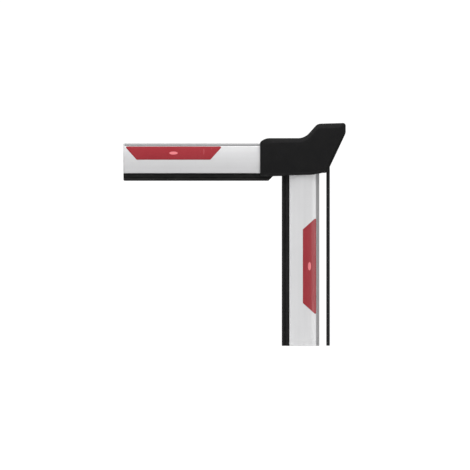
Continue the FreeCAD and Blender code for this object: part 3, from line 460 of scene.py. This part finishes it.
zinc_screw = worked_metal("zinc_screw", (0.62, 0.62, 0.60), (0.46, 0.46, 0.45), 0.24, 0.0004, 0.3)
dress(zinc_screw, "fork_screws", "tongue_screws", "cover_screws", "tip_cap_screws",
      "rod_lock_nut")

# ---------------------------------------------------------------------------------------------
# Tie rod: a round steel bar with a black baked finish, screwed into a zinc-plated eye and locked
# by the nut. Its finish is rubbed a little along its length.
# ---------------------------------------------------------------------------------------------

dress(worked_metal("zinc_eye", ZINC_BRIGHT, ZINC_DULL, 0.34, 0.0009, 0.4), "rod_eye")
dress(black_plastic("baked_black", (0.012, 0.012, 0.013), (0.09, 0.09, 0.09), 0.40,
                    0.0012, 0.00003, 0.25, 0.35), "tie_rod")

# ---------------------------------------------------------------------------------------------
# Rubber edges: hollow bumpers extruded in black rubber, with a flange, a folding groove at half
# height and grip grooves below. A foot on a neck snaps into the boom's lower slot.
# ---------------------------------------------------------------------------------------------

MM = 0.001
elbow_height = frame["joints"][0]["pos_m"][2] / MM
ARC_STEP = math.radians(15)


def rounded(corners, step=ARC_STEP, sides=None):
    """A closed outline through corners of (across, up, radius), with an arc at each. sides says
    how many steps each straight side takes, from its own corner to the next; one if not given."""
    arcs = []
    for i, (x, y, radius) in enumerate(corners):
        here = Vector((x, y))
        back = (Vector(corners[i - 1][:2]) - here).normalized()
        ahead = (Vector(corners[(i + 1) % len(corners)][:2]) - here).normalized()
        half = back.angle(ahead) / 2
        centre = here + (back + ahead).normalized() * radius / math.sin(half)
        start = here + back * radius / math.tan(half) - centre
        turn = math.pi - half * 2
        count = max(2, math.ceil(turn / step - 0.01))
        way = math.copysign(turn, ahead.cross(back))
        arcs.append([centre + Matrix.Rotation(way * k / count, 2) @ start
                     for k in range(count + 1)])
    points = []
    for i, arc in enumerate(arcs):
        points += arc
        following = arcs[(i + 1) % len(arcs)][0]
        count = sides[i] if sides else 1
        points += [arc[-1].lerp(following, k / count) for k in range(1, count)]
    return points


def mirrored(half):
    """The whole outline of a section from the corners on one side of its middle."""
    return half + [(across, -out, radius) for across, out, radius in reversed(half)]


def make_mesh(name, points, faces):
    """An object with this mesh; points are in millimetres, in the row frame."""
    mesh = bpy.data.meshes.new(name)
    mesh.from_pydata([point * MM for point in points], [], faces)
    work = bmesh.new()
    work.from_mesh(mesh)
    bmesh.ops.remove_doubles(work, verts=work.verts, dist=0.00001)
    bmesh.ops.recalc_face_normals(work, faces=work.faces)
    work.to_mesh(mesh)
    work.free()
    piece = bpy.data.objects.new(name, mesh)
    bpy.context.scene.collection.objects.link(piece)
    return piece


def lofted(name, rings):
    """A closed solid through rings of equally many points."""
    count = len(rings[0])
    faces = [[*range(count)], [*range(len(rings) * count - count, len(rings) * count)]]
    for low in range(0, (len(rings) - 1) * count, count):
        faces += [(low + k, low + (k + 1) % count, low + count + (k + 1) % count,
                   low + count + k) for k in range(count)]
    return make_mesh(name, [point for ring in rings for point in ring], faces)


def combined(piece, others, operation):
    """Cuts the others out of the piece, or joins them to it, and leaves only the piece."""
    for other in others:
        step = piece.modifiers.new("combine", "BOOLEAN")
        step.solver = "EXACT"
        step.operation = operation
        step.object = other
    settle(piece)
    for other in others:
        bpy.data.objects.remove(other)


def settle(piece):
    """Puts the result of the piece's modifiers in its mesh."""
    graph = bpy.context.evaluated_depsgraph_get()
    result = bpy.data.meshes.new_from_object(piece.evaluated_get(graph))
    piece.modifiers.clear()
    piece.data = result


def smoothed(piece, angle=32):
    """Smooth shading, except across edges sharper than the angle."""
    piece.data.polygons.foreach_set("use_smooth", [True] * len(piece.data.polygons))
    piece.data.set_sharp_from_angle(angle=math.radians(angle))
    weights = piece.modifiers.new("flat_faces_first", "WEIGHTED_NORMAL")
    weights.keep_sharp = True
    settle(piece)


def boom_point(boom, across, out, reach):
    """A point given across a boom, out of its middle plane and along it from the pivot."""
    if boom == "inner":
        return Vector((across, out, elbow_height - reach))
    return Vector((-reach, out, elbow_height + across))


def boom_span(boom, name):
    """Where a CAD node starts and ends along its boom, from the pivot."""
    low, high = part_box(name)
    if boom == "inner":
        return elbow_height - high.z / MM, elbow_height - low.z / MM
    return -high.x / MM, -low.x / MM


def boom_box(name, boom, low, high):
    """A block between two corners of (across, out, reach)."""
    ring = [(low[0], low[1]), (high[0], low[1]), (high[0], high[1]), (low[0], high[1])]
    return lofted(name, [[boom_point(boom, across, out, reach) for across, out in ring]
                         for reach in (low[2], high[2])])


def extruded(name, boom, section, near, far):
    """A length of a section along its boom."""
    return lofted(name, [[boom_point(boom, *point, reach) for point in section]
                         for reach in (near, far)])


def finished(piece, material, body, slot, *replaced):
    """Gives a made piece its finish and body, and hides the CAD nodes that it stands for. The slot is
    not used.
    """
    piece.data.materials.append(material)
    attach(piece, body)
    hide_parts(*replaced)


PAST = 2.0
RUBBER_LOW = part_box("inner_rubber_edge")[0].x / MM
RUBBER_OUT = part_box("inner_rubber_edge")[1].y / MM
RUBBER_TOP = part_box("inner_arm")[0].x / MM - 0.1
FOOT_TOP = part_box("inner_rubber_edge")[1].x / MM
NECK = 6.65
FOOT = 11.65
GRIP_DEPTH = 0.7
SKIRT_OUT = RUBBER_OUT - 1.6
FOLD_OUT = RUBBER_OUT - 0.8
FOLD_DEPTH = 2.4
FLANGE_DEPTH = 0.7
rubber_grip = RUBBER_LOW + GRIP_DEPTH
rubber_section = rounded(mirrored([
    (rubber_grip, 0.6, 0.2), (RUBBER_LOW, 1.0, 0.3), (RUBBER_LOW, 3.0, 0.3),
    (rubber_grip, 3.4, 0.2), (rubber_grip, 4.6, 0.2), (RUBBER_LOW, 5.0, 0.3),
    (RUBBER_LOW, SKIRT_OUT, 6.0),
    (-60.0, FOLD_OUT, 1.0), (-58.8, FOLD_OUT - FOLD_DEPTH, 0.8),
    (-57.2, FOLD_OUT - FOLD_DEPTH, 0.8), (-56.0, FOLD_OUT, 1.0), (-52.0, RUBBER_OUT, 8.0),
    (-48.4, RUBBER_OUT, 0.3), (-48.0, RUBBER_OUT - FLANGE_DEPTH, 0.2),
    (-47.2, RUBBER_OUT - FLANGE_DEPTH, 0.2), (-46.8, RUBBER_OUT, 0.3),
    (RUBBER_TOP, RUBBER_OUT, 0.6), (RUBBER_TOP, NECK, 0.3), (-42.45, NECK, 0.3),
    (-42.45, FOOT, 0.4), (FOOT_TOP, FOOT, 0.6)]))
rubber_hollow = rounded(mirrored([(-64.0, 8.2, 3.0), (-48.6, 8.8, 1.5)]))


def rubber_finish(name, stretch):
    material, tree, shader = new_material(name)
    grain = placed(tree, grain_group, Size=0.0009, Cloud_Size=0.05)
    die = placed(tree, lines_group, Stretch=stretch, Size=0.0008)
    bloom = placed(tree, grain_group, Size=0.004, Cloud_Size=0.12)
    dust = placed(tree, dust_group, Patch_Size=0.02, Amount=0.25)
    marks = placed(tree, scratch_group, Size=0.012, Amount=0.45)
    tone = mixed(tree, ramp(tree, bloom.outputs["Cloud"], 0.0, 1.0, 0.35, 0.7),
                 (0.0052, 0.0054, 0.0054), (0.0092, 0.0095, 0.0095))
    tone = mixed(tree, ramp(tree, die.outputs["Streak"], 0.0, 0.5, 0.5, 0.75), tone,
                 (0.0150, 0.0154, 0.0154))
    tone = mixed(tree, marks.outputs["Mask"], tone, (0.045, 0.045, 0.045))
    tone = mixed(tree, dust.outputs["Mask"], tone, (0.15, 0.14, 0.12))
    under = bumped(tree, die.outputs["Height"], 0.00004)
    feed(tree, shader, Base_Color=tone, IOR=1.5, Specular_IOR_Level=0.15,
         Roughness=ramp(tree, grain.outputs["Cloud"], 0.52, 0.72, 0.3, 0.7),
         Normal=bumped(tree, grain.outputs["Height"], 0.00005, under))
    return material


inner_near, inner_far = boom_span("inner", "inner_rubber_edge")
inner_rubber = extruded("inner_rubber", "inner", rubber_section, inner_near, inner_far)
hollow = extruded("hollow", "inner", rubber_hollow, inner_near - PAST, inner_far + PAST)
combined(inner_rubber, [hollow], "DIFFERENCE")
smoothed(inner_rubber)
finished(inner_rubber, rubber_finish("rubber_inner", ALONG_Z), "inner_boom", "black_rubber",
         "inner_rubber_edge")

# The outer edge is mitred beside the knuckle cover and closed and rounded at the tip, where its
# foot stops short behind the tip cap.
MITRE = 14.0
TIP_ROUND = 3.5
TIP_WALL = 10.0
TIP_RINGS = 5
CAP_GAP = 0.2
outer_near, outer_far = boom_span("outer", "outer_rubber_edge")
cap_inside = boom_span("outer", "outer_arm")[1]
rubber_middle = (RUBBER_LOW + RUBBER_TOP) / 2
rings = [[boom_point("outer", *point, outer_near) for point in rubber_section]]
for k in range(TIP_RINGS + 1):
    angle = math.radians(90) * k / TIP_RINGS
    inset = TIP_ROUND * (1 - math.cos(angle))
    narrow = 1 - inset / (rubber_middle - RUBBER_LOW)
    thin = 1 - inset / RUBBER_OUT
    rings.append([boom_point("outer", rubber_middle + (across - rubber_middle) * narrow,
                             out * thin, outer_far - TIP_ROUND + TIP_ROUND * math.sin(angle))
                  for across, out in rubber_section])
outer_rubber = lofted("outer_rubber", rings)
hollow = extruded("hollow", "outer", rubber_hollow, outer_near - PAST, outer_far - TIP_WALL)
relief = boom_box("relief", "outer", (RUBBER_TOP, -RUBBER_OUT, cap_inside - CAP_GAP),
                  (FOOT_TOP + PAST, RUBBER_OUT, outer_far + PAST))
wedge_face = [(RUBBER_LOW - PAST, outer_near - PAST),
              (RUBBER_LOW + MITRE + PAST, outer_near - PAST),
              (RUBBER_LOW - PAST, outer_near + MITRE + PAST)]
wedge = lofted("wedge", [[boom_point("outer", across, out, reach) for across, reach in wedge_face]
                         for out in (-RUBBER_OUT - PAST, RUBBER_OUT + PAST)])
combined(outer_rubber, [hollow, relief, wedge], "DIFFERENCE")
smoothed(outer_rubber)
finished(outer_rubber, rubber_finish("rubber_outer", ALONG_X), "outer_boom", "black_rubber",
         "outer_rubber_edge")

# ---------------------------------------------------------------------------------------------
# Slot covers: grey strips of extruded PVC that snap into the booms' upper slots. They are hollow,
# rounded above, and have two fine grooves along the top.
# ---------------------------------------------------------------------------------------------

STRIP_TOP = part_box("inner_slot_cover")[1].x / MM
STRIP_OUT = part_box("inner_slot_cover")[1].y / MM
STRIP_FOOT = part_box("inner_slot_cover")[0].x / MM
ARM_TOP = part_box("inner_arm")[1].x / MM
STRIP_GROOVE = 0.6
strip_section = rounded(mirrored([
    (STRIP_TOP, 2.4, 0.2), (STRIP_TOP - STRIP_GROOVE, 2.7, 0.2),
    (STRIP_TOP - STRIP_GROOVE, 3.6, 0.2), (STRIP_TOP, 3.9, 0.2), (STRIP_TOP, STRIP_OUT, 5.0),
    (ARM_TOP + 0.1, STRIP_OUT, 0.5), (ARM_TOP + 0.1, NECK, 0.3), (33.45, NECK, 0.3),
    (33.45, FOOT, 0.4), (STRIP_FOOT, FOOT, 0.6)]))
strip_hollow = rounded(mirrored([(37.8, 8.8, 1.0), (43.2, 8.8, 2.0)]))


def grey_pvc(name, stretch):
    material, tree, shader = new_material(name)
    die = placed(tree, lines_group, Stretch=stretch, Size=0.0009)
    grain = placed(tree, grain_group, Size=0.0007, Cloud_Size=0.08)
    dust = placed(tree, dust_group, Patch_Size=0.025, Amount=0.45)
    marks = placed(tree, scratch_group, Size=0.01, Amount=0.5)
    tone = mixed(tree, die.outputs["Streak"], (0.29, 0.29, 0.295), (0.36, 0.36, 0.365))
    tone = mixed(tree, marks.outputs["Mask"], tone, (0.46, 0.46, 0.46))
    tone = mixed(tree, dust.outputs["Mask"], tone, (0.22, 0.21, 0.19))
    under = bumped(tree, die.outputs["Height"], 0.00003)
    feed(tree, shader, Base_Color=tone, IOR=1.5, Specular_IOR_Level=0.4,
         Roughness=ramp(tree, grain.outputs["Cloud"], 0.36, 0.52, 0.3, 0.7),
         Normal=bumped(tree, grain.outputs["Height"], 0.00003, under))
    return material


for boom, stretch in (("inner", ALONG_Z), ("outer", ALONG_X)):
    near, far = boom_span(boom, f"{boom}_slot_cover")
    strip = extruded(f"{boom}_strip", boom, strip_section, near, far)
    hollow = extruded("hollow", boom, strip_hollow, near - PAST, far + PAST)
    combined(strip, [hollow], "DIFFERENCE")
    smoothed(strip)
    finished(strip, grey_pvc(f"pvc_{boom}", stretch), f"{boom}_boom", "grey_strip",
             f"{boom}_slot_cover")

# ---------------------------------------------------------------------------------------------
# Reflectors: trapezoids of red prismatic sheeting, die-cut with rounded corners, stuck to the
# bowed faces. The rim is pressed flat and sealed; a plain pale oval in the middle is a printed
# mark and also a painted highlight, with soft edges.
# ---------------------------------------------------------------------------------------------


def filled(outline, loops, spacing):
    """Triangles inside an outline that keep to the loops inside it, on a grid of points no nearer
    to the last loop than half the spacing. Gives the points and the triangles."""
    points = list(outline)
    edges = []
    for loop in loops:
        first = len(points)
        points += loop
        edges += [(first + k, first + (k + 1) % len(loop)) for k in range(len(loop))]
    border = loops[-1] if loops else outline
    low = [min(point[k] for point in border) for k in (0, 1)]
    high = [max(point[k] for point in border) for k in (0, 1)]
    for row in range(1, int((high[1] - low[1]) / spacing[1]) + 1):
        for column in range(1, int((high[0] - low[0]) / spacing[0]) + 1):
            spot = Vector((low[0] + column * spacing[0], low[1] + row * spacing[1]))
            if inside(spot, border) and edge_distance(spot, border) > min(spacing) / 2:
                points.append(spot)
    made, _, faces, *_ = geometry.delaunay_2d_cdt(
        points, edges, [list(range(len(outline)))], 1, 0.00001)
    return made, faces


def inside(spot, loop):
    """Whether a point lies inside a closed outline."""
    crossings = 0
    for a, b in zip(loop, loop[1:] + loop[:1]):
        if (a.y > spot.y) != (b.y > spot.y):
            if spot.x < a.x + (spot.y - a.y) / (b.y - a.y) * (b.x - a.x):
                crossings += 1
    return crossings % 2 == 1


def edge_distance(spot, loop):
    """How far a point is from the nearest side of an outline."""
    nearest = math.inf
    for a, b in zip(loop, loop[1:] + loop[:1]):
        share = (spot - a).dot(b - a) / max((b - a).length_squared, 1e-9)
        nearest = min(nearest, (a.lerp(b, min(1.0, max(0.0, share))) - spot).length)
    return nearest


def inset_corners(corners, widths):
    """The corners of an anticlockwise outline with each side moved in by its own width."""
    moved = []
    for i, (x, y, radius) in enumerate(corners):
        here = Vector((x, y))
        before = (here - Vector(corners[i - 1][:2])).normalized().orthogonal()
        after = (Vector(corners[(i + 1) % len(corners)][:2]) - here).normalized().orthogonal()
        first, second = widths[i - 1], widths[i]
        scale = before.cross(after)
        shift = Vector((first * after.y - second * before.y,
                        second * before.x - first * after.x)) / scale
        change = (first + second) / 2
        moved.append((x + shift.x, y + shift.y,
                      radius + change if scale < 0 else max(radius - change, 1.2)))
    return moved


REFLECTOR_LOW = -5.0
REFLECTOR_HIGH = 35.2
REFLECTOR_SLANT = 36.0
REFLECTOR_ROUND = 3.0
RIM_WIDTH = 2.2
RIM_STEP = 0.3
RIM_THICK = 0.22
FILM_THICK = 0.42
FILM_UNDER = 0.03
FILM_SIDES = [8, 24, 8, 24]
FILM_GRID = (10.0, 5.0)
NET_CELL = 0.0024
OVAL_LONG = 0.013
OVAL_WIDE = 0.0048
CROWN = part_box("outer_arm")[1].y / MM
ARM_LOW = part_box("inner_arm")[0].x / MM
FACE_SAG = 5.5
half_height = (ARM_TOP - ARM_LOW) / 2
face_middle = (ARM_TOP + ARM_LOW) / 2
face_radius = (half_height ** 2 + FACE_SAG ** 2) / (FACE_SAG * 2)


def face_depth(across, outset=0.0):
    """How far the boom's bowed face stands out of its middle plane."""
    reach = face_radius + outset
    return math.sqrt(reach ** 2 - (across - face_middle) ** 2) - face_radius + CROWN


def red_sheeting(name, boom, centre):
    """Prismatic cells in a diamond net under a clear film, with a pale oval at the centre that is a
    printed mark and also a painted soft highlight.
    """
    material, tree, shader = new_material(name)
    place = node(tree, "ShaderNodeTexCoord").outputs["Object"]
    split = node(tree, "ShaderNodeSeparateXYZ", {0: place})
    along, across = ("Z", "X") if boom == "inner" else ("X", "Z")
    lengthwise = maths(tree, "SUBTRACT", split.outputs[along], centre[0])
    crosswise = maths(tree, "SUBTRACT", split.outputs[across], centre[1])
    lines = []
    for operation in ("ADD", "SUBTRACT"):
        wave = maths(tree, "PINGPONG", maths(tree, operation, lengthwise, crosswise), NET_CELL)
        lines.append(ramp(tree, wave, 1.0, 0.0, 0.0001, 0.0004))
    net = maths(tree, "MAXIMUM", *lines)
    long_part = maths(tree, "POWER", maths(tree, "DIVIDE", lengthwise, OVAL_LONG), 2.0)
    wide_part = maths(tree, "POWER", maths(tree, "DIVIDE", crosswise, OVAL_WIDE), 2.0)
    # Pale oval in the middle: a printed mark, and also a painted highlight through its soft edge.
    print_and_highlight_mask = ramp(tree, maths(tree, "ADD", long_part, wide_part), 1.0, 0.0, 0.8, 1.05)
    cloud = placed(tree, grain_group, Size=0.0004, Cloud_Size=0.09)
    dust = placed(tree, dust_group, Patch_Size=0.02, Amount=0.2)
    marks = placed(tree, scratch_group, Size=0.008, Amount=0.35)
    tone = mixed(tree, cloud.outputs["Cloud"], (0.29, 0.018, 0.027), (0.34, 0.027, 0.037))
    tone = mixed(tree, ramp(tree, net, 0.0, 0.55), tone, (0.24, 0.016, 0.024))
    tone = mixed(tree, ramp(tree, cloud.outputs["Height"], 0.0, 0.35, 0.5, 0.7), tone,
                 (0.48, 0.050, 0.060))
    # Pale oval colour: the printed mark and the painted soft highlight.
    tone = mixed(tree, print_and_highlight_mask, tone, (0.78, 0.21, 0.23))
    tone = mixed(tree, marks.outputs["Mask"], tone, (0.60, 0.16, 0.18))
    tone = mixed(tree, dust.outputs["Mask"], tone, (0.30, 0.20, 0.17))
    feed(tree, shader, Base_Color=tone, IOR=1.5, Coat_Weight=0.35, Coat_Roughness=0.12,
         Specular_IOR_Level=0.3,
         Roughness=ramp(tree, cloud.outputs["Cloud"], 0.30, 0.42, 0.3, 0.7),
         Normal=bumped(tree, net, 0.00004))
    return material


for boom in ("inner", "outer"):
    near, far = boom_span(boom, f"{boom}_reflector_front")
    trapezoid = [(near, REFLECTOR_HIGH, REFLECTOR_ROUND),
                 (near + REFLECTOR_SLANT, REFLECTOR_LOW, REFLECTOR_ROUND),
                 (far - REFLECTOR_SLANT, REFLECTOR_LOW, REFLECTOR_ROUND),
                 (far, REFLECTOR_HIGH, REFLECTOR_ROUND)]
    rim, step_low, step_high = (
        rounded(inset_corners(trapezoid, [width] * 4) if width else trapezoid, sides=FILM_SIDES)
        for width in (0.0, RIM_WIDTH, RIM_WIDTH + RIM_STEP))
    flat, triangles = filled(rim, [step_low, step_high], FILM_GRID)
    thick = [RIM_THICK if k < len(rim) + len(step_low) else FILM_THICK for k in range(len(flat))]
    middle = (near + far) / 2
    reach_centre = elbow_height - middle if boom == "inner" else -middle
    rise_centre = (REFLECTOR_LOW + REFLECTOR_HIGH) / 2 + (0.0 if boom == "inner" else elbow_height)
    sheeting = red_sheeting(f"sheeting_{boom}", boom, (reach_centre * MM, rise_centre * MM))
    for face, side in (("front", -1.0), ("rear", 1.0)):
        top = [boom_point(boom, spot.y, side * face_depth(spot.y, rise), spot.x)
               for spot, rise in zip(flat, thick)]
        under = [boom_point(boom, spot.y, side * face_depth(spot.y, FILM_UNDER), spot.x)
                 for spot in flat]
        count = len(flat)
        faces = [tuple(face) for face in triangles]
        faces += [tuple(k + count for k in reversed(face)) for face in triangles]
        faces += [(k, (k + 1) % len(rim), (k + 1) % len(rim) + count, k + count)
                  for k in range(len(rim))]
        reflector = make_mesh(f"{boom}_sheeting_{face}", top + under, faces)
        smoothed(reflector, 40)
        finished(reflector, sheeting, f"{boom}_boom", "red_reflector",
                 f"{boom}_reflector_{face}")

# ---------------------------------------------------------------------------------------------
# Tip cap: a pale grey moulding that plugs the outer boom's end, held by two countersunk screws
# in the extrusion's ports.
# ---------------------------------------------------------------------------------------------


def pale_moulding(name):
    material, tree, shader = new_material(name)
    grain = placed(tree, grain_group, Size=0.0008, Cloud_Size=0.04)
    dust = placed(tree, dust_group, Patch_Size=0.015, Amount=0.5)
    marks = placed(tree, scratch_group, Size=0.008, Amount=0.5)
    worn = placed(tree, edge_group, Radius=0.001, Break_Size=0.004, Amount=0.5)
    tone = mixed(tree, grain.outputs["Cloud"], (0.55, 0.55, 0.555), (0.63, 0.63, 0.635))
    tone = mixed(tree, marks.outputs["Mask"], tone, (0.42, 0.42, 0.42))
    tone = mixed(tree, worn.outputs["Mask"], tone, (0.74, 0.74, 0.74))
    tone = mixed(tree, dust.outputs["Mask"], tone, (0.36, 0.34, 0.30))
    feed(tree, shader, Base_Color=tone, IOR=1.5, Specular_IOR_Level=0.4,
         Roughness=ramp(tree, grain.outputs["Cloud"], 0.40, 0.56, 0.3, 0.7),
         Normal=bumped(tree, grain.outputs["Height"], 0.00005))
    return material


dress(pale_moulding("pale_moulding"), "tip_cap")

# ---------------------------------------------------------------------------------------------
# Knuckle cover: two glass-filled nylon mouldings, front and rear, that meet on the middle plane
# of the elbow and ride on the outer boom. Broad bevels fall from the crowned panel to the rim.
# ---------------------------------------------------------------------------------------------

# Corners of the outline: across, above the pivot, and the corner's radius.
COVER_CORNERS = [
    (-133.2, -54.5, 7.0), (24.0, -50.0, 100.0), (56.0, -43.0, 45.0), (68.0, -43.0, 7.0),
    (123.5, 74.5, 26.0), (123.5, 105.4, 8.0), (39.0, 103.0, 22.0), (0.4, 59.8, 45.0),
    (-118.0, 59.8, 40.0), (-133.2, 48.0, 8.0)]
# Width of the bevel along each side, from the lower one round to the left one.
BEVEL_WIDTHS = [9.0, 9.0, 9.0, 9.0, 22.0, 16.0, 12.0, 15.0, 22.0, 24.0]
COVER_WALL = 3.0
RIM_INSET = 3.5
RIM_DEPTH = 25.0
BEVEL_DEPTH = 28.4
PANEL_DEPTH = 31.5
PANEL_CROWN = 0.5
PART_LINE = 0.4
SIDE_STEP = 12.0
COVER_GRID = (11.0, 11.0)
CROWN_FADE = 9.0
COVER_ARC = math.radians(4)
BEVEL_RINGS = [(0.5, 0.56), (0.84, 0.92), (0.95, 0.985), (1.0, 1.0)]


def side_steps(corners):
    """How many steps each side of the outline takes, by its length."""
    lengths = [(Vector(corners[(i + 1) % len(corners)][:2]) - Vector(corner[:2])).length
               for i, corner in enumerate(corners)]
    return [max(1, round(length / SIDE_STEP)) for length in lengths]


def elbow_point(side, spot, depth):
    """side is -1 for the front half and 1 for the rear half."""
    return Vector((spot.x, side * depth, elbow_height + spot.y))


def cover_form(name, side, shrink, start):
    """The closed outer form of one half, or with shrink the form of its hollow."""
    sides = side_steps(COVER_CORNERS)

    def ring_at(widths):
        return rounded(inset_corners(COVER_CORNERS, widths), COVER_ARC, sides)

    edge = ring_at([shrink] * len(BEVEL_WIDTHS))
    brow = ring_at([RIM_INSET + shrink * 0.3] * len(BEVEL_WIDTHS))
    panel = ring_at(BEVEL_WIDTHS)
    rings = []
    if not shrink:
        rings.append([elbow_point(side, spot, 0.0) for spot in ring_at([PART_LINE] * len(BEVEL_WIDTHS))])
        start = PART_LINE
    rings.append([elbow_point(side, spot, start) for spot in edge])
    rim, bevel, top = (depth - shrink for depth in (RIM_DEPTH, BEVEL_DEPTH, PANEL_DEPTH))
    for share in (0.0, 0.25, 0.5, 0.75, 1.0):
        ring = []
        for a, b, c in zip(edge, brow, panel):
            knee = bevel - (b - a).length * (top - bevel) / (c - b).length
            depth = (1 - share) ** 2 * rim + 2 * share * (1 - share) * knee + share ** 2 * bevel
            ring.append(elbow_point(side, a.lerp(b, share ** 2), depth))
        rings.append(ring)
    for share, rise in BEVEL_RINGS:
        rings.append([elbow_point(side, b.lerp(c, share), bevel + (top - bevel) * rise)
                      for b, c in zip(brow, panel)])
    count = len(edge)
    points = [point for ring in rings for point in ring]
    faces = [[*range(count)]]
    for low in range(0, (len(rings) - 1) * count, count):
        faces += [(low + k, low + (k + 1) % count, low + count + (k + 1) % count,
                   low + count + k) for k in range(count)]
    flat, triangles = filled(panel, [], COVER_GRID)
    first = len(points)
    for k, spot in enumerate(flat):
        faded = math.exp(-edge_distance(spot, panel) / CROWN_FADE)
        crown = 0.0 if k < count else PANEL_CROWN * (1 - faded)
        points.append(elbow_point(side, spot, top + crown))
    faces += [tuple(first + k for k in face) for face in triangles]
    return make_mesh(name, points, faces)


def prism(name, corners, side, start, stop):
    """A straight form across the elbow between two depths."""
    return lofted(name, [[elbow_point(side, Vector(corner), depth) for corner in corners]
                         for depth in (start, stop)])


def round_post(name, side, spot, levels):
    """A turned form on an axis across the elbow, through levels of (depth, radius)."""
    around = [Vector((math.cos(turn), math.sin(turn)))
              for turn in (math.tau * k / POST_SIDES for k in range(POST_SIDES))]
    return lofted(name, [[elbow_point(side, Vector(spot) + way * radius, depth) for way in around]
                         for depth, radius in levels])


COVER_POSTS = [(-115.0, 51.2), (-40.0, 46.0), (46.0, 92.5), (108.0, 89.5)]
POST_SIDES = 28
POST_RADIUS = 4.5
POST_FOOT = 20.0
POST_DRAFT = 0.5
COLLAR_DEPTH = 23.5
FRONT_COLLAR = 5.1
REAR_COLLAR = 6.2
POST_HOLE = 1.75
POST_COVER = 1.2
HOLE_END = 19.0
SEAT_DEPTH = 26.0
SEAT_RADIUS = 4.1
FIN_HALF = 0.8
FIN_REACH = 9.0
FIN_START = 19.0
SWING_DEPTH = 23.2
BOOM_GAP = 0.5
LENS_STEPS = 12
RUBBER_WAY_LOW = -70.0
RUBBER_WAY_NEAR = 93.0
# The way of the inner boom and the tie rod as they swing out, where the rim has no wall.
SWING_CORNERS = [(-75.0, -70.0), (140.0, -70.0), (140.0, 82.0), (112.0, 82.0), (72.0, -20.0),
                 (-75.0, -38.0)]


def cover_half(name, side):
    """One half of the cover, with its ways cut and its screw posts moulded in."""
    piece = cover_form(name, side, 0.0, 0.0)
    hollow = cover_form("hollow", side, COVER_WALL, -PAST)
    swing = prism("swing", SWING_CORNERS, side, -PAST, SWING_DEPTH)
    low, high = ARM_LOW - BOOM_GAP, ARM_TOP + BOOM_GAP
    lens = [(across, side * face_depth(across, BOOM_GAP))
            for across in (low + (high - low) * k / LENS_STEPS for k in range(LENS_STEPS + 1))]
    lens += [(high, side * (STRIP_OUT + BOOM_GAP)),
             (STRIP_TOP + BOOM_GAP, side * (STRIP_OUT + BOOM_GAP)),
             (STRIP_TOP + BOOM_GAP, -side * PAST), (low, -side * PAST)]
    left = -COVER_CORNERS[0][0]
    mouth = extruded("mouth", "outer", lens, left - COVER_WALL * 2, left + PAST)
    rubber_way = boom_box("rubber_way", "outer",
                          (RUBBER_WAY_LOW, -RUBBER_OUT - BOOM_GAP, RUBBER_WAY_NEAR),
                          (ARM_LOW, RUBBER_OUT + BOOM_GAP, left + PAST))
    combined(piece, [rubber_way, mouth, hollow, swing], "DIFFERENCE")
    collar = REAR_COLLAR if side > 0 else FRONT_COLLAR
    posts = [round_post("post", side, spot, [
        (0.0, POST_RADIUS), (POST_FOOT, POST_RADIUS + POST_DRAFT), (COLLAR_DEPTH, collar),
        (PANEL_DEPTH, collar)]) for spot in COVER_POSTS]
    fins = [prism("fin", [(x - FIN_REACH, z - FIN_HALF), (x + FIN_REACH, z - FIN_HALF),
                          (x + FIN_REACH, z + FIN_HALF), (x - FIN_REACH, z + FIN_HALF)],
                  side, FIN_START, PANEL_DEPTH) for x, z in COVER_POSTS]
    combined(posts[0], posts[1:] + fins, "UNION")
    combined(posts[0], [cover_form("within", side, POST_COVER, -PAST)], "INTERSECT")
    combined(piece, posts[:1], "UNION")
    outside = PANEL_DEPTH + PAST
    hole_end = outside if side > 0 else HOLE_END
    holes = [round_post("hole", side, spot, [(-PAST, POST_HOLE), (hole_end, POST_HOLE)])
             for spot in COVER_POSTS]
    if side > 0:
        holes += [round_post("seat", side, spot, [(SEAT_DEPTH, SEAT_RADIUS), (outside, SEAT_RADIUS)])
                  for spot in COVER_POSTS]
    combined(piece, holes, "DIFFERENCE")
    smoothed(piece, 34)
    return piece


moulding_finish = black_plastic("grained_moulding", (0.0055, 0.0055, 0.0058),
                                (0.035, 0.035, 0.035), 0.56, 0.0011, 0.00007, 0.12, 0.30)
for face, side in (("front", -1.0), ("rear", 1.0)):
    finished(cover_half(f"cover_moulding_{face}", side), moulding_finish, "outer_boom",
             "black_moulding", f"knuckle_cover_{face}")
